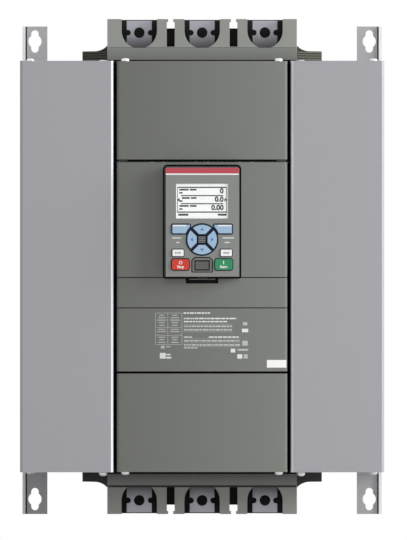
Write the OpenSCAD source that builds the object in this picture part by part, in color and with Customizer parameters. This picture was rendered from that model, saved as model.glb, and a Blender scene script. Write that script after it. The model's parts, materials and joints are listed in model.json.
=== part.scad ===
// Three-phase soft starter with a built-in bypass contactor, for fixing to a mounting plate.
// X runs to the right and Z up. The wall is the plane Y = 0, and depths are counted from it
// towards the front, so a depth d lies at Y = -d.
// The origin is the centre of the four mounting keyholes, on the wall plane.

/* [Chassis] */
// Overall width of the unit
unit_w = 361; // [356:1:371]
// Vertical distance between the keyhole centres
keyhole_pitch_z = 460; // [457:1:480]
// Distance from a keyhole centre to the outer side of the chassis
keyhole_inset = 12.5; // [12.5:0.5:14]
// Distance from a keyhole centre to the end of its tab
tab_end = 15; // [14:0.5:20]
// Width of a mounting tab
tab_w = 25; // [24:0.5:28]
// Thickness of the chassis sheet
chassis_t = 3; // [2.5:0.5:3.5]
// Depth of the side flanges of the chassis
flange_d = 30; // [20:1:36]
// Depth of the folded lip along the mounting tabs
lip_d = 7; // [5:0.5:12]
// Width of a keyhole slot
keyhole_slot_w = 7.4; // [6.6:0.2:8.6]
// Length of a keyhole slot, end to end
keyhole_slot_l = 22.4; // [20:0.4:23.2]
// Diameter of the round middle of a keyhole
keyhole_head_d = 13.2; // [12:0.2:14]

/* [Enclosure] */
// Height of the side covers
cover_h = 408; // [404:0.5:411]
// Height of the covers' middle above the keyhole centre
cover_lift = 3.7; // [2:0.1:5]
// Depth from the wall to the flat front of the side covers
side_depth = 262; // [259:1:275]
// Gap between a side cover and the front covers
side_gap = 3.3; // [2:0.1:5]
// Thickness of the side cover sheet
sheet_t = 1.5; // [1:0.25:2]
// Outer bend radius of the side cover sheet
bend_r = 3; // [2.5:0.25:5]
// Width of the moulded front covers
front_w = 169; // [166:0.5:172]
// Bulge of the moulded front covers at their middle
crown = 6; // [4:0.5:8]
// Depth of the front covers' skirts
skirt_d = 30; // [28:0.5:33]
// Wall thickness of the moulded covers and housing
wall = 2.5; // [2:0.25:3]
// Height of the upper front cover
upper_h = 97.6; // [92:0.2:99]
// Height of the lower front cover
lower_h = 97.6; // [90:0.2:108]
// Gap between one front cover and the next
cover_gap = 2.2; // [1.4:0.1:2.6]

/* [Terminals] */
// Distance between two poles
pole_pitch = 62.6; // [61:0.2:64]
// Width of a terminal block
block_w = 188.8; // [186:0.2:194]
// Height of a terminal block beyond the covers
block_rise = 42.5; // [41:0.25:46]
// Height of the plain strip at the root of a terminal block
strip_h = 13.8; // [12:0.2:14.4]
// Width of the opening at a terminal
recess_w = 35.2; // [33:0.2:37]
// Depth of a terminal bar behind the face of its block
recess_d = 13; // [10:0.5:16]
// Width of a terminal bar
bar_w = 25; // [22:0.5:26]
// Thickness of a terminal bar
bar_t = 5; // [4:0.5:6]
// Diameter of a terminal bar's bolt hole
bar_hole_d = 10.5; // [8.5:0.5:11]
// Distance from a bolt hole to the end of its block
bar_hole_end = 13.5; // [13:0.1:15]
// Width of a slot for a phase barrier
barrier_w = 7.9; // [7:0.1:9]
// Reach of a block's side wing beyond the block
wing_reach = 25; // [20:0.5:30]

/* [Power section] */
// Depth of the power parts and covers in front of the heat sinks
stack_d = 160; // [158:1:164]
// Width left beside the heat sinks, both sides together
side_room = 67; // [61:1:73]
// Height of a heat sink
sink_h = 330; // [310:1:340]
// Number of fins on a heat sink
sink_fins = 14; // [8:1:16]
// Height of a thyristor module above its heat sink
module_h = 52; // [48:1:54]
// Width or depth of a heat sink beyond its fan
fan_room = 6; // [4:0.5:8]
// Height of a fan frame
fan_h = 25; // [22:0.5:27]
// Number of blades on a fan rotor
fan_blades = 7; // [5:1:9]
// Travel of the bypass contacts
bypass_travel = 5.8; // [5:0.1:6]

/* [Keypad] */
// Width of the keypad
keypad_w = 74.4; // [73:0.2:80]
// Height of the keypad
keypad_h = 109.8; // [108:0.2:112]
// Distance from the upper edge of its cover down to the keypad
keypad_drop = 4.5; // [4:0.1:6]
// Rise of the keypad's face above the middle of the front cover
keypad_rise = 12.5; // [11:0.5:15]
// Depth of the keypad inside its bay
keypad_sunk = 15.7; // [14.5:0.1:17]
// Gap between the keypad and its bay
keypad_gap = 1.6; // [1:0.1:1.8]
// Rise of a key above the keypad's face
key_rise = 1.5; // [1:0.1:2]
// Clearance round a key
key_gap = 0.3; // [0.2:0.05:0.35]
// Travel of a key
key_travel = 1; // [0.6:0.1:1]
// Width of the display
display_w = 51.8; // [48:0.2:56]
// Height of the display
display_h = 34.9; // [32:0.1:36]
// Outer radius of the ring of arrow keys
arrow_r = 14.7; // [13.5:0.1:15]

/* [Hidden] */
$fn = 64;

plastic_grey = [0.45, 0.46, 0.44];
block_grey = [0.56, 0.57, 0.54];
zinc_grey = [0.64, 0.64, 0.66];
tinned_copper = [0.62, 0.62, 0.64];
copper = [0.72, 0.45, 0.30];
aluminium = [0.72, 0.73, 0.74];
black_plastic = [0.09, 0.09, 0.09];
bezel_grey = [0.52, 0.53, 0.52];
key_blue = [0.62, 0.73, 0.86];
board_green = [0.10, 0.33, 0.18];

// Clearances
seat_gap = 0.3;
thread_gap = 0.05;
shaft_gap = 0.05;
overcut = 1;

// Height and depth levels that several pieces share
z_top = cover_lift + cover_h / 2;
z_bottom = cover_lift - cover_h / 2;
shelf_top = z_top - sheet_t;
shelf_bottom = z_bottom + sheet_t;
chassis_h = keyhole_pitch_z + 2 * tab_end;
side_x = unit_w / 2;
side_inner_x = front_w / 2 + side_gap;
side_w = side_x - side_inner_x;
sink_depth = side_depth - stack_d;
sink_w = (unit_w - side_room) / 3;
fan_w = min(sink_w, sink_depth) - fan_room;
sink_front = chassis_t + sink_depth;
bar_back = sink_front + module_h;
bar_front = bar_back + bar_t;
tower_front = bar_front + recess_d;
strip_proud = 3;
strip_front = tower_front + strip_proud;
block_back = sink_front + 3;
skirt_back = side_depth - skirt_d;
crown_depth = side_depth + crown;
front_inset = 0.3;
front_top = z_top - front_inset;
front_bottom = z_bottom + front_inset;
control_top = front_top - upper_h - cover_gap;
control_bottom = front_bottom + lower_h + cover_gap;
keypad_z = control_top - keypad_drop - keypad_h;
keypad_face = crown_depth + keypad_rise;
keypad_back = crown_depth - keypad_sunk;
bay_floor = keypad_back - seat_gap;
poles = [-pole_pitch, 0, pole_pitch];
sink_gap = 4;
sink_pitch = sink_w + sink_gap;
sink_spots = [-sink_pitch, 0, sink_pitch];

// Basic shapes

// A box between two X, two depths and two Z.
module slab(x0, x1, d0, d1, z0, z1) {
    translate([x0, -d1, z0]) cube([x1 - x0, d1 - d0, z1 - z0]);
}

// A flat outline in X and Z, extruded from depth d0 to depth d1.
module raise(d0, d1) {
    translate([0, -d0, 0]) rotate([90, 0, 0]) linear_extrude(d1 - d0) children();
}

// A flat rectangle with rounded corners, centred on its place.
module rounded(w, h, r) {
    square([w, h - 2 * r], center = true);
    square([w - 2 * r, h], center = true);
    for (x = [-1, 1], y = [-1, 1]) translate([x * (w / 2 - r), y * (h / 2 - r)]) circle(r);
}

// A piece and its copy on the other side of the middle plane.
module both_sides() {
    children();
    mirror([1, 0, 0]) children();
}

// The line side of the unit turned over to its load side.
module turned_over() {
    translate([0, 0, 2 * cover_lift]) mirror([0, 0, 1]) children();
}

// Screws that hold the side covers and the front covers, at the top and the bottom of the unit

screw_d = 4;
thread_d = screw_d + 2 * thread_gap;
screw_hole_d = 4.5;
screw_head_d = 8;
screw_head_h = 3;
screw_l = 8;
outer_screw = [side_x - 8.5, 60];
inner_screw = [side_inner_x + 10.5, side_depth - 62];
front_screw = [front_w / 2 - 8.5, side_depth - 15];

module screw_holes(place, d) {
    both_sides() translate([place[0], -place[1], z_bottom - overcut]) {
        cylinder(h = screw_l + 2 * overcut, d = d);
        translate([0, 0, cover_h - screw_l]) cylinder(h = screw_l + 2 * overcut, d = d);
    }
}

module screw() {
    cross_l = 5;
    cross_w = 1;
    cross_h = 1.6;
    translate([0, 0, -screw_l]) cylinder(h = screw_l + screw_head_h / 2, d = screw_d);
    difference() {
        intersection() {
            cylinder(h = screw_head_h, d = screw_head_d);
            translate([0, 0, screw_head_h - screw_head_d]) sphere(screw_head_d);
        }
        for (a = [0, 90]) rotate(a) translate([0, 0, screw_head_h])
            cube([cross_l, cross_w, cross_h], center = true);
    }
}

module screw_set(place, inset) {
    both_sides() {
        translate([place[0], -place[1], z_top - inset]) screw();
        translate([place[0], -place[1], z_bottom + inset]) mirror([0, 0, 1]) screw();
    }
}

module enclosure_screws() color(zinc_grey) {
    screw_set(outer_screw, 0);
    screw_set(inner_screw, 0);
    screw_set(front_screw, front_inset);
}

// Chassis: one folded sheet with keyhole tabs, vented top flange and fan inlets

vent_slots = 10;
vent_w = 3.5;
vent_l = 74;
relief = 2;
flange_clear = 0.5;
guard_rings = 4;
guard_rib = 2.2;
guard_hub_r = 12;
guard_spoke = 4;
fan_bore_r = fan_w / 2 - 2;
fan_d = chassis_t + sink_depth / 2;
keyhole_x = side_x - keyhole_inset;

module keyhole() {
    end_z = (keyhole_slot_l - keyhole_slot_w) / 2;
    circle(d = keyhole_head_d);
    square([keyhole_slot_w, 2 * end_z], center = true);
    for (z = [-end_z, end_z]) translate([0, z]) circle(d = keyhole_slot_w);
}

// Ring slots of a punched finger guard, with four spokes left standing.
module guard_cut() {
    ring = (fan_bore_r - guard_hub_r) / guard_rings;
    difference() {
        for (i = [1 : guard_rings]) difference() {
            circle(guard_hub_r + i * ring);
            circle(guard_hub_r + (i - 1) * ring + guard_rib);
        }
        for (a = [45, 135]) rotate(a) square([2 * fan_w, guard_spoke], center = true);
    }
}

module shelf_plate() {
    bend_x = side_x - tab_w - relief;
    full_x = side_x - chassis_t - flange_clear;
    translate([-full_x, -sink_front]) square([2 * full_x, sink_front - chassis_t - relief]);
    translate([-bend_x, -sink_front]) square([2 * bend_x, sink_front]);
}

module chassis() color(zinc_grey) difference() {
    vent_pitch = sink_w / vent_slots;
    vent_mid = (vent_slots - 1) / 2;
    union() {
        slab(-side_x, side_x, 0, chassis_t, shelf_bottom, shelf_top);
        both_sides() {
            slab(side_x - tab_w, side_x, 0, chassis_t, -chassis_h / 2, chassis_h / 2);
            slab(side_x - chassis_t, side_x, 0, lip_d, -chassis_h / 2, chassis_h / 2);
            slab(side_x - chassis_t, side_x, 0, flange_d, z_bottom, z_top);
        }
        translate([0, 0, shelf_top - chassis_t]) linear_extrude(chassis_t) shelf_plate();
        translate([0, 0, shelf_bottom]) linear_extrude(chassis_t) shelf_plate();
    }
    for (z = [-1, 1]) both_sides()
        translate([keyhole_x, 0, z * keyhole_pitch_z / 2]) raise(-overcut, chassis_t + overcut) keyhole();
    for (x = sink_spots, i = [0 : vent_slots - 1])
        translate([x + (i - vent_mid) * vent_pitch, -fan_d, shelf_top - chassis_t / 2])
            cube([vent_w, vent_l, chassis_t + 2 * overcut], center = true);
    for (x = sink_spots) translate([x, -fan_d, shelf_bottom - overcut])
        linear_extrude(chassis_t + 2 * overcut) guard_cut();
    screw_holes(outer_screw, thread_d);
}

// Side covers: folded sheet, with vented top and bottom walls

lap = 8;
return_d = 26;
ear_w = tab_w - 2.5;
ear_back = 45;
flange_seam = 1;
side_vents = 6;
side_vent_pitch = 8;
side_vent_l = 50;

module side_profile() {
    for (c = [[side_inner_x + bend_r, 180], [side_x - bend_r, 270]])
        translate([c[0], -side_depth + bend_r]) rotate(c[1]) intersection() {
            difference() {
                circle(bend_r);
                circle(bend_r - sheet_t);
            }
            square(2 * bend_r);
        }
    translate([side_inner_x + bend_r, -side_depth]) square([side_w - 2 * bend_r, sheet_t]);
    translate([side_x - sheet_t, -side_depth + bend_r])
        square([sheet_t, side_depth - bend_r - flange_d - flange_seam]);
    translate([side_inner_x, -side_depth + bend_r]) square([sheet_t, return_d - bend_r]);
}

// Outline of the top or bottom wall, with the ear that reaches back to the outer screw.
module side_end_wall() {
    back = sink_front - lap;
    for (x = [side_inner_x + bend_r, side_x - bend_r]) translate([x, -side_depth + bend_r]) circle(bend_r);
    translate([side_inner_x + bend_r, -side_depth]) square([side_w - 2 * bend_r, bend_r]);
    translate([side_inner_x, -side_depth + bend_r]) square([side_w, side_depth - bend_r - back]);
    translate([side_x - ear_w, -back - overcut]) square([ear_w, back + overcut - ear_back]);
}

module right_side_cover() color(zinc_grey) difference() {
    vent_x = side_x - 14 - (side_vents - 1) * side_vent_pitch;
    vent_d = side_depth - 17;
    union() {
        translate([0, 0, z_bottom]) linear_extrude(cover_h) side_profile();
        for (z = [z_bottom, z_top - sheet_t]) translate([0, 0, z]) linear_extrude(sheet_t) side_end_wall();
    }
    screw_holes(outer_screw, screw_hole_d);
    screw_holes(inner_screw, screw_hole_d);
    for (i = [0 : side_vents - 1], z = [z_bottom, z_top - sheet_t])
        translate([vent_x + i * side_vent_pitch, -vent_d, z - overcut])
            cube([vent_w, side_vent_l, sheet_t + 2 * overcut]);
}

module left_side_cover() mirror([1, 0, 0]) right_side_cover();

// Main housing: moulded frame that carries the terminal blocks, front covers and control board

shelf_t = 3;
frame_back = side_depth - 72;
mid_t = 2.5;
mid_front = skirt_back - 6;
mid_back = mid_front - mid_t;
board_post_h = 2;
board_back = mid_front + board_post_h;
board_t = 1.6;
board_front = board_back + board_t;
board_w = front_w - 2 * wall - 10;
board_z0 = control_bottom + 5;
board_z1 = control_top + 24;
post_r = 3.5;
post_inset = 6;
bar_clear = 0.6;
ear_half = 14;
lug_half = 7;
lug_t = 4;
bar_slot_z = 40;

module bar_slots() {
    for (x = poles) slab(x - bar_w / 2 - bar_clear, x + bar_w / 2 + bar_clear,
        bar_back - bar_clear, bar_front + bar_clear, shelf_top - bar_slot_z, shelf_top + bar_slot_z);
}

// Shelf at the top of the housing, with its ears for the side cover screws and front cover lugs.
module housing_shelf() {
    lug_top = front_top - wall;
    difference() {
        slab(-front_w / 2, front_w / 2, sink_front, skirt_back, shelf_top - shelf_t, shelf_top);
        bar_slots();
    }
    both_sides() {
        slab(front_w / 2 - wall, inner_screw[0] + 9, inner_screw[1] - ear_half, inner_screw[1] + ear_half,
            shelf_top - shelf_t, shelf_top);
        slab(front_screw[0] - lug_half, front_w / 2 - wall - seat_gap, mid_back, front_screw[1] + lug_half,
            lug_top - lug_t, lug_top);
    }
}

module main_housing() color(plastic_grey) difference() {
    post_x = board_w / 2 - post_inset;
    union() {
        housing_shelf();
        turned_over() housing_shelf();
        both_sides() slab(front_w / 2 - wall, front_w / 2, frame_back, skirt_back, shelf_bottom, shelf_top);
        slab(-front_w / 2 + overcut, front_w / 2 - overcut, mid_back, mid_front, shelf_bottom, shelf_top);
        for (x = [-post_x, post_x], z = [board_z0 + post_inset, board_z1 - post_inset])
            translate([x, 0, z]) raise(mid_front - overcut, board_back) circle(post_r);
    }
    screw_holes(inner_screw, thread_d);
    screw_holes(front_screw, thread_d);
    for (z = [control_top + 50, control_bottom - 50])
        translate([0, 0, z]) raise(mid_back - overcut, mid_front + overcut) rounded(90, 40, 6);
}

// Front covers: bulging mouldings with skirts that stand on the front edge of the housing

front_r = 3.5;
corner_lift = 0.03;
bulge_r = (front_w * front_w / 4 + crown * crown) / (2 * crown);

// Filled plan of the front covers, drawn in by a given distance.
module front_plan(inset) {
    half = front_w / 2 - inset;
    corner_x = front_w / 2 - front_r;
    corner_d = crown_depth - bulge_r + sqrt(bulge_r * bulge_r - corner_x * corner_x) - front_r + corner_lift;
    intersection() {
        translate([0, bulge_r - crown_depth]) circle(bulge_r - inset, $fn = 720);
        union() {
            translate([-corner_x, -crown_depth]) square([2 * corner_x, crown_depth - skirt_back]);
            translate([-half, -corner_d]) square([2 * half, corner_d - skirt_back]);
            for (x = [-corner_x, corner_x]) translate([x, -corner_d]) circle(front_r - inset);
        }
    }
}

module front_shell(z0, z1) {
    translate([0, 0, z0]) linear_extrude(z1 - z0) difference() {
        front_plan(0);
        front_plan(wall);
        translate([wall - front_w / 2, -skirt_back - overcut]) square([front_w - 2 * wall, 2 * overcut]);
    }
}

module end_wall(z) {
    translate([0, 0, z]) linear_extrude(wall) front_plan(0);
}

module upper_front_cover() color(plastic_grey) difference() {
    union() {
        front_shell(front_top - upper_h, front_top);
        end_wall(front_top - wall);
    }
    screw_holes(front_screw, screw_hole_d);
}

module lower_front_cover() color(plastic_grey) difference() {
    union() {
        front_shell(front_bottom, front_bottom + lower_h);
        end_wall(front_bottom);
    }
    screw_holes(front_screw, screw_hole_d);
}

// Control cover: the middle moulding, with the keypad's bay, a finger notch and a comb of vents

bay_wall = 2;
bay_r = 4.5;
bay_r_low = 2.5;
notch_w = 32.2;
notch_h = 6.4;
notch_d = 11;
groove_h = 1;
groove_d = 0.8;
groove_drop = 30.6;
comb_pitch = 4.5;
comb_w = 2.3;
comb_teeth = 33;
comb_back = 0.8;
comb_clear = 0.4;
socket_w = 16;
socket_h = 14;
socket_z = 60;

// Outline of the keypad, grown by a given distance, with its lower edge at Z = 0.
module keypad_outline(grow) {
    half = keypad_w / 2 + grow;
    top_r = bay_r - keypad_gap + grow;
    low_r = max(bay_r_low - keypad_gap + grow, 0.4);
    translate([-half, low_r - grow]) square([2 * half, keypad_h + 2 * grow - top_r - low_r]);
    translate([-half + top_r, low_r - grow]) square([2 * (half - top_r), keypad_h + 2 * grow - low_r]);
    translate([-half + low_r, -grow]) square([2 * (half - low_r), low_r * 2]);
    for (x = [-1, 1]) {
        translate([x * (half - top_r), keypad_h + grow - top_r]) circle(top_r);
        translate([x * (half - low_r), low_r - grow]) circle(low_r);
    }
}

module at_keypad() {
    translate([0, 0, keypad_z]) children();
}

module groove(z) {
    translate([0, 0, z - groove_h / 2]) linear_extrude(groove_h) difference() {
        translate([-front_w, -crown_depth - overcut]) square([2 * front_w, crown_depth - skirt_back - 8]);
        front_plan(groove_d);
    }
}

module comb() {
    translate([0, 0, control_top - wall]) linear_extrude(wall + cover_gap - comb_clear) intersection() {
        difference() {
            front_plan(comb_back);
            front_plan(wall - comb_back / 2);
        }
        for (i = [0 : comb_teeth - 1])
            translate([(i - (comb_teeth - 1) / 2) * comb_pitch - comb_w / 2, -crown_depth])
                square([comb_w, crown * 2]);
    }
}

// Window for the keypad's socket, grown all round by a given distance.
module socket_cut(d0, d1, grow) {
    translate([0, 0, socket_z]) raise(d0, d1)
        square([socket_w + 2 * grow, socket_h + 2 * grow], center = true);
}

module control_cover() color(plastic_grey) difference() {
    inner = crown_depth - 0.9 * wall;
    union() {
        front_shell(control_bottom, control_top);
        comb();
        at_keypad() {
            raise(bay_floor - bay_wall, inner) keypad_outline(keypad_gap + bay_wall);
            slab(-notch_w / 2 - bay_wall, notch_w / 2 + bay_wall, crown_depth - notch_d - bay_wall, inner,
                -notch_h - bay_wall, 0);
        }
    }
    at_keypad() {
        raise(bay_floor, crown_depth + overcut) keypad_outline(keypad_gap);
        slab(-notch_w / 2, notch_w / 2, crown_depth - notch_d, crown_depth + overcut, -notch_h, overcut);
        socket_cut(bay_floor - bay_wall - overcut, bay_floor + overcut, seat_gap);
    }
    groove(keypad_z - groove_h / 2);
    groove(keypad_z - groove_drop);
}

// Terminal blocks: moulded, with three open bays, barrier slots between them and a wing at each side

block_end = z_top + block_rise;
block_foot_x = front_w / 2 - 2;
bay_back_wall = 4;
recess_z = block_end - 11.7;
barrier_deep = 25;
barrier_l = 27.6;
barrier_open = 9;
hook_h = 3;
hook_mouth = 5;
hook_d = 4;
wing_flat = 10.7;
wing_r = 17;
wing_root_h = 16.2;
wing_front = 3;
wing_tip_d = 25;

module terminal_bay() {
    translate([0, recess_z]) circle(recess_w / 2);
    translate([-recess_w / 2, recess_z]) square([recess_w, block_end - recess_z + overcut]);
}

// Front outline of a wing: flat at its tip, and swept up in a hollow curve to the block.
module wing_face() {
    flat_z = z_top + wing_flat;
    root_z = z_top + wing_root_h;
    rise = wing_root_h - wing_flat;
    sweep = sqrt(wing_r * wing_r - (wing_r - rise) * (wing_r - rise));
    difference() {
        translate([block_w / 2 - overcut, z_top + seat_gap])
            square([wing_reach + overcut, root_z - z_top - seat_gap]);
        translate([block_w / 2 + sweep, flat_z]) square([wing_reach, rise + overcut]);
        translate([block_w / 2 + sweep, flat_z + wing_r]) circle(wing_r);
    }
}

module wing() {
    root = block_w / 2 - overcut;
    tip = block_w / 2 + wing_reach;
    intersection() {
        raise(block_back, tower_front) wing_face();
        translate([0, 0, z_top]) linear_extrude(block_rise) polygon([
            [root, -block_back],
            [tip, -block_back],
            [tip, -block_back - wing_tip_d],
            [root, wing_front - tower_front]]);
    }
}

module line_terminal_block() color(block_grey) {
    slot_z = block_end - barrier_l;
    difference() {
        union() {
            difference() {
                slab(-block_w / 2, block_w / 2, block_back, tower_front, z_top + seat_gap, block_end);
                for (x = poles) translate([x, 0, 0])
                    raise(block_back + bay_back_wall, strip_front + overcut) terminal_bay();
            }
            slab(-block_w / 2, block_w / 2, tower_front - overcut, strip_front,
                z_top + seat_gap, z_top + strip_h);
            slab(-block_foot_x, block_foot_x, block_back, strip_front, shelf_top, z_top + overcut);
            both_sides() wing();
        }
        bar_slots();
        for (x = [-pole_pitch / 2, pole_pitch / 2]) {
            slab(x - barrier_w / 2, x + barrier_w / 2, tower_front - barrier_deep, strip_front + overcut,
                slot_z, block_end + overcut);
            slab(x - barrier_w / 2, x + barrier_w / 2, block_back - overcut, strip_front + overcut,
                block_end - barrier_open, block_end + overcut);
        }
    }
    for (x = [-pole_pitch / 2, pole_pitch / 2], s = [-1, 1]) {
        edge = x + s * hook_mouth / 2;
        root = x + s * (barrier_w / 2 + overcut);
        slab(min(edge, root), max(edge, root), tower_front - hook_d, tower_front,
            block_end - hook_h, block_end);
    }
}

module load_terminal_block() color(block_grey) turned_over() line_terminal_block();

// Busbars, each one flat bar from its terminal to a thyristor module and a bypass contact

bar_end_gap = 1.5;
notch_r = 2.8;
notch_in = 1.2;
bar_hole_z = block_end - bar_hole_end;
line_pad_z = 130;
load_pad_z = 0;
bypass_z = 25;
pad_w = 24;
line_bar_low = bypass_z + 10;
load_bar_top = load_pad_z + bar_w / 2;

module bar_tip(x) {
    translate([x, bar_hole_z]) circle(d = bar_hole_d);
    for (s = [-1, 1]) {
        translate([x + s * (bar_w / 2 - notch_in), bar_hole_z]) circle(notch_r);
        translate([x + s * bar_w / 2, bar_hole_z]) square([2 * notch_in, 2 * notch_r], center = true);
    }
}

module line_bar(pole) color(tinned_copper) raise(bar_back, bar_front) difference() {
    x = poles[pole];
    reach = sink_spots[pole];
    union() {
        translate([x - bar_w / 2, line_bar_low]) square([bar_w, block_end - bar_end_gap - line_bar_low]);
        translate([min(x, reach) - bar_w / 2, line_pad_z - bar_w / 2])
            square([abs(reach - x) + bar_w, bar_w]);
    }
    bar_tip(x);
}

module load_bar(pole) color(tinned_copper) raise(bar_back, bar_front) difference() {
    x = poles[pole];
    reach = sink_spots[pole];
    end_z = 2 * cover_lift - block_end + bar_end_gap;
    union() {
        translate([x - bar_w / 2, end_z]) square([bar_w, load_bar_top - end_z]);
        translate([min(x, reach) - bar_w / 2, load_pad_z - bar_w / 2])
            square([abs(reach - x) + bar_w, bar_w]);
    }
    translate([0, 2 * cover_lift]) mirror([0, 1]) bar_tip(x);
}

module line_busbar_l1() line_bar(0);
module line_busbar_l2() line_bar(1);
module line_busbar_l3() line_bar(2);
module load_busbar_t1() load_bar(0);
module load_busbar_t2() load_bar(1);
module load_busbar_t3() load_bar(2);

// Heat sinks, thyristor modules, fans and current transformers

sink_base = 12;
fin_t = 2.2;
fan_gap = 18;
fan_z = shelf_bottom + chassis_t;
sink_z0 = fan_z + fan_h + fan_gap;
module_w = 60;
module_l = 170;
module_base = 12;
module_step = 3;
module_z = (line_pad_z + load_pad_z) / 2;
pad_h = 4;

module heat_sink(spot) color(aluminium) translate([sink_spots[spot], 0, sink_z0]) {
    fin_pitch = (sink_w - fin_t) / (sink_fins - 1);
    slab(-sink_w / 2, sink_w / 2, sink_front - sink_base, sink_front, 0, sink_h);
    for (i = [0 : sink_fins - 1])
        slab(-sink_w / 2 + i * fin_pitch, -sink_w / 2 + i * fin_pitch + fin_t, chassis_t,
            sink_front - sink_base + overcut, 0, sink_h);
}

module heat_sink_left() heat_sink(0);
module heat_sink_centre() heat_sink(1);
module heat_sink_right() heat_sink(2);

module thyristor_module(spot) color(black_plastic) translate([sink_spots[spot], 0, module_z]) {
    top = bar_back - pad_h;
    slab(-module_w / 2, module_w / 2, sink_front, sink_front + module_base, -module_l / 2, module_l / 2);
    slab(-module_w / 2 + module_step, module_w / 2 - module_step, sink_front, top,
        -module_l / 2 + 4 * module_step, module_l / 2 - 4 * module_step);
    for (z = [line_pad_z, load_pad_z]) translate([0, 0, z - module_z])
        slab(-pad_w / 2, pad_w / 2, top - overcut, bar_back, -pad_w / 2 + 6, pad_w / 2 - 6);
    for (x = [-12, 12]) translate([x, 0, 0]) slab(-3, 3, top - overcut, top + 3, -4, 4);
}

module thyristor_module_left() thyristor_module(0);
module thyristor_module_centre() thyristor_module(1);
module thyristor_module_right() thyristor_module(2);

hub_r = 18;
fan_shaft_r = 2.5;
fan_foot_h = 4;
fan_tip_gap = 1;
blade_t = 1.6;
blade_angle = 38;
blade_chord = 22;
fan_hole_d = 4.4;
fan_hole_inset = 5;

module fan_place(spot) {
    translate([sink_spots[spot], -fan_d, fan_z]) children();
}

module fan_frame(spot) color(black_plastic) fan_place(spot) {
    hole = fan_w / 2 - fan_hole_inset;
    linear_extrude(fan_h) difference() {
        rounded(fan_w, fan_w, 4);
        circle(fan_bore_r);
        for (x = [-hole, hole], y = [-hole, hole]) translate([x, y]) circle(d = fan_hole_d);
    }
    cylinder(h = fan_foot_h - 1, r = hub_r - 1);
    cylinder(h = fan_h - 4, r = fan_shaft_r);
    for (a = [0, 120, 240]) rotate(a) translate([hub_r - 3, -2, 0]) cube([fan_bore_r - hub_r + 4, 4, 2.5]);
}

module fan_rotor(spot) color(black_plastic) fan_place(spot) {
    blade_z = (fan_foot_h + fan_h - 1) / 2;
    rotor_h = fan_h - fan_foot_h - 1;
    difference() {
        union() {
            translate([0, 0, fan_foot_h]) cylinder(h = rotor_h, r = hub_r);
            intersection() {
                for (i = [0 : fan_blades - 1]) rotate(i * 360 / fan_blades)
                    translate([hub_r - 2, 0, blade_z]) rotate([blade_angle, 0, 0])
                        translate([0, -blade_chord / 2, -blade_t / 2])
                            cube([fan_bore_r, blade_chord, blade_t]);
                translate([0, 0, fan_foot_h]) cylinder(h = rotor_h, r = fan_bore_r - fan_tip_gap);
            }
        }
        translate([0, 0, fan_foot_h - overcut]) cylinder(h = rotor_h - 1, r = fan_shaft_r + shaft_gap);
    }
}

module fan_frame_left() fan_frame(0);
module fan_frame_centre() fan_frame(1);
module fan_frame_right() fan_frame(2);
module fan_rotor_left() fan_rotor(0);
module fan_rotor_centre() fan_rotor(1);
module fan_rotor_right() fan_rotor(2);

ct_w = 46;
ct_h = 30;
ct_deep = 34;
ct_z = -135;
ct_r = 6;
ct_mid = (bar_back + bar_front) / 2;

module current_transformer(pole) color(black_plastic)
    translate([poles[pole], -ct_mid, ct_z - ct_h / 2]) linear_extrude(ct_h) difference() {
        rounded(ct_w, ct_deep, ct_r);
        square([bar_w + 2 * seat_gap, bar_t + 2 * seat_gap], center = true);
    }

module current_transformer_left() current_transformer(0);
module current_transformer_centre() current_transformer(1);
module current_transformer_right() current_transformer(2);

// Bypass contactor: fixed contacts on the busbars, and bridges that a magnet pulls back onto them

bypass_room = 3;
bypass_half_w = front_w / 2 - wall - bypass_room;
bypass_half_h = 50;
bypass_t = 3;
bypass_d = mid_back - bar_front - 1;
contact_w = 16;
contact_side = 5.4;
bypass_pitch = bypass_half_w - bypass_t - contact_side - contact_w / 2;
bypass_poles = [-bypass_pitch, 0, bypass_pitch];
contact_h = 12;
contact_t = 8;
contact_z = 25;
contact_gap = bypass_travel + 0.2;
bridge_w = 14;
bridge_t = 3;
bridge_d = bar_front + contact_t + contact_gap;
crossbar_d = bridge_d + bridge_t;
crossbar_t = 3;
crossbar_end = 5;
crossbar_half_w = bypass_half_w - crossbar_end;
crossbar_half_h = 9;
guide_x = bypass_pitch / 2;
guide_r = 3;
core_d = crossbar_d + crossbar_t + 2;
core_half_w = guide_x - 8;
yoke_t = 6;
leg_l = 12.8;
leg_half = 9;
outer_leg = 8;
leg_tip = core_d + yoke_t + leg_l;
armature_d = leg_tip + bypass_travel + 0.4;
armature_t = 6;
armature_front = armature_d + armature_t;
carrier_leg_x = guide_x + 12;
carrier_leg_t = 4;
coil_t = 10;

module at_bypass() {
    translate([0, 0, bypass_z]) children();
}

module bypass_base() color(black_plastic) at_bypass() {
    hw = bypass_half_w;
    hh = bypass_half_h;
    difference() {
        slab(-hw, hw, bar_front, bar_front + bypass_d, -hh, hh);
        slab(-hw + bypass_t, hw - bypass_t, bar_front + bypass_t, bar_front + bypass_d + overcut,
            -hh + bypass_t, hh - bypass_t);
        for (x = bypass_poles, z = [-contact_z, contact_z])
            slab(x - contact_w / 2 - seat_gap, x + contact_w / 2 + seat_gap, bar_front - overcut,
                bar_front + bypass_t + overcut, z - contact_h / 2 - seat_gap, z + contact_h / 2 + seat_gap);
    }
    for (x = [-guide_x, guide_x]) {
        translate([x, 0, 0]) raise(bar_front + 1, core_d - 1) circle(guide_r);
        for (z = [-1, 1]) slab(x - 1.5, x + 1.5, bar_front + 1, crossbar_d - bypass_travel - 1,
            z > 0 ? crossbar_half_h + 2 : -hh + 1, z > 0 ? hh - 1 : -crossbar_half_h - 2);
    }
}

module bypass_fixed_contacts() color(copper) at_bypass()
    for (x = bypass_poles, z = [-contact_z, contact_z])
        slab(x - contact_w / 2, x + contact_w / 2, bar_front, bar_front + contact_t,
            z - contact_h / 2, z + contact_h / 2);

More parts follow.
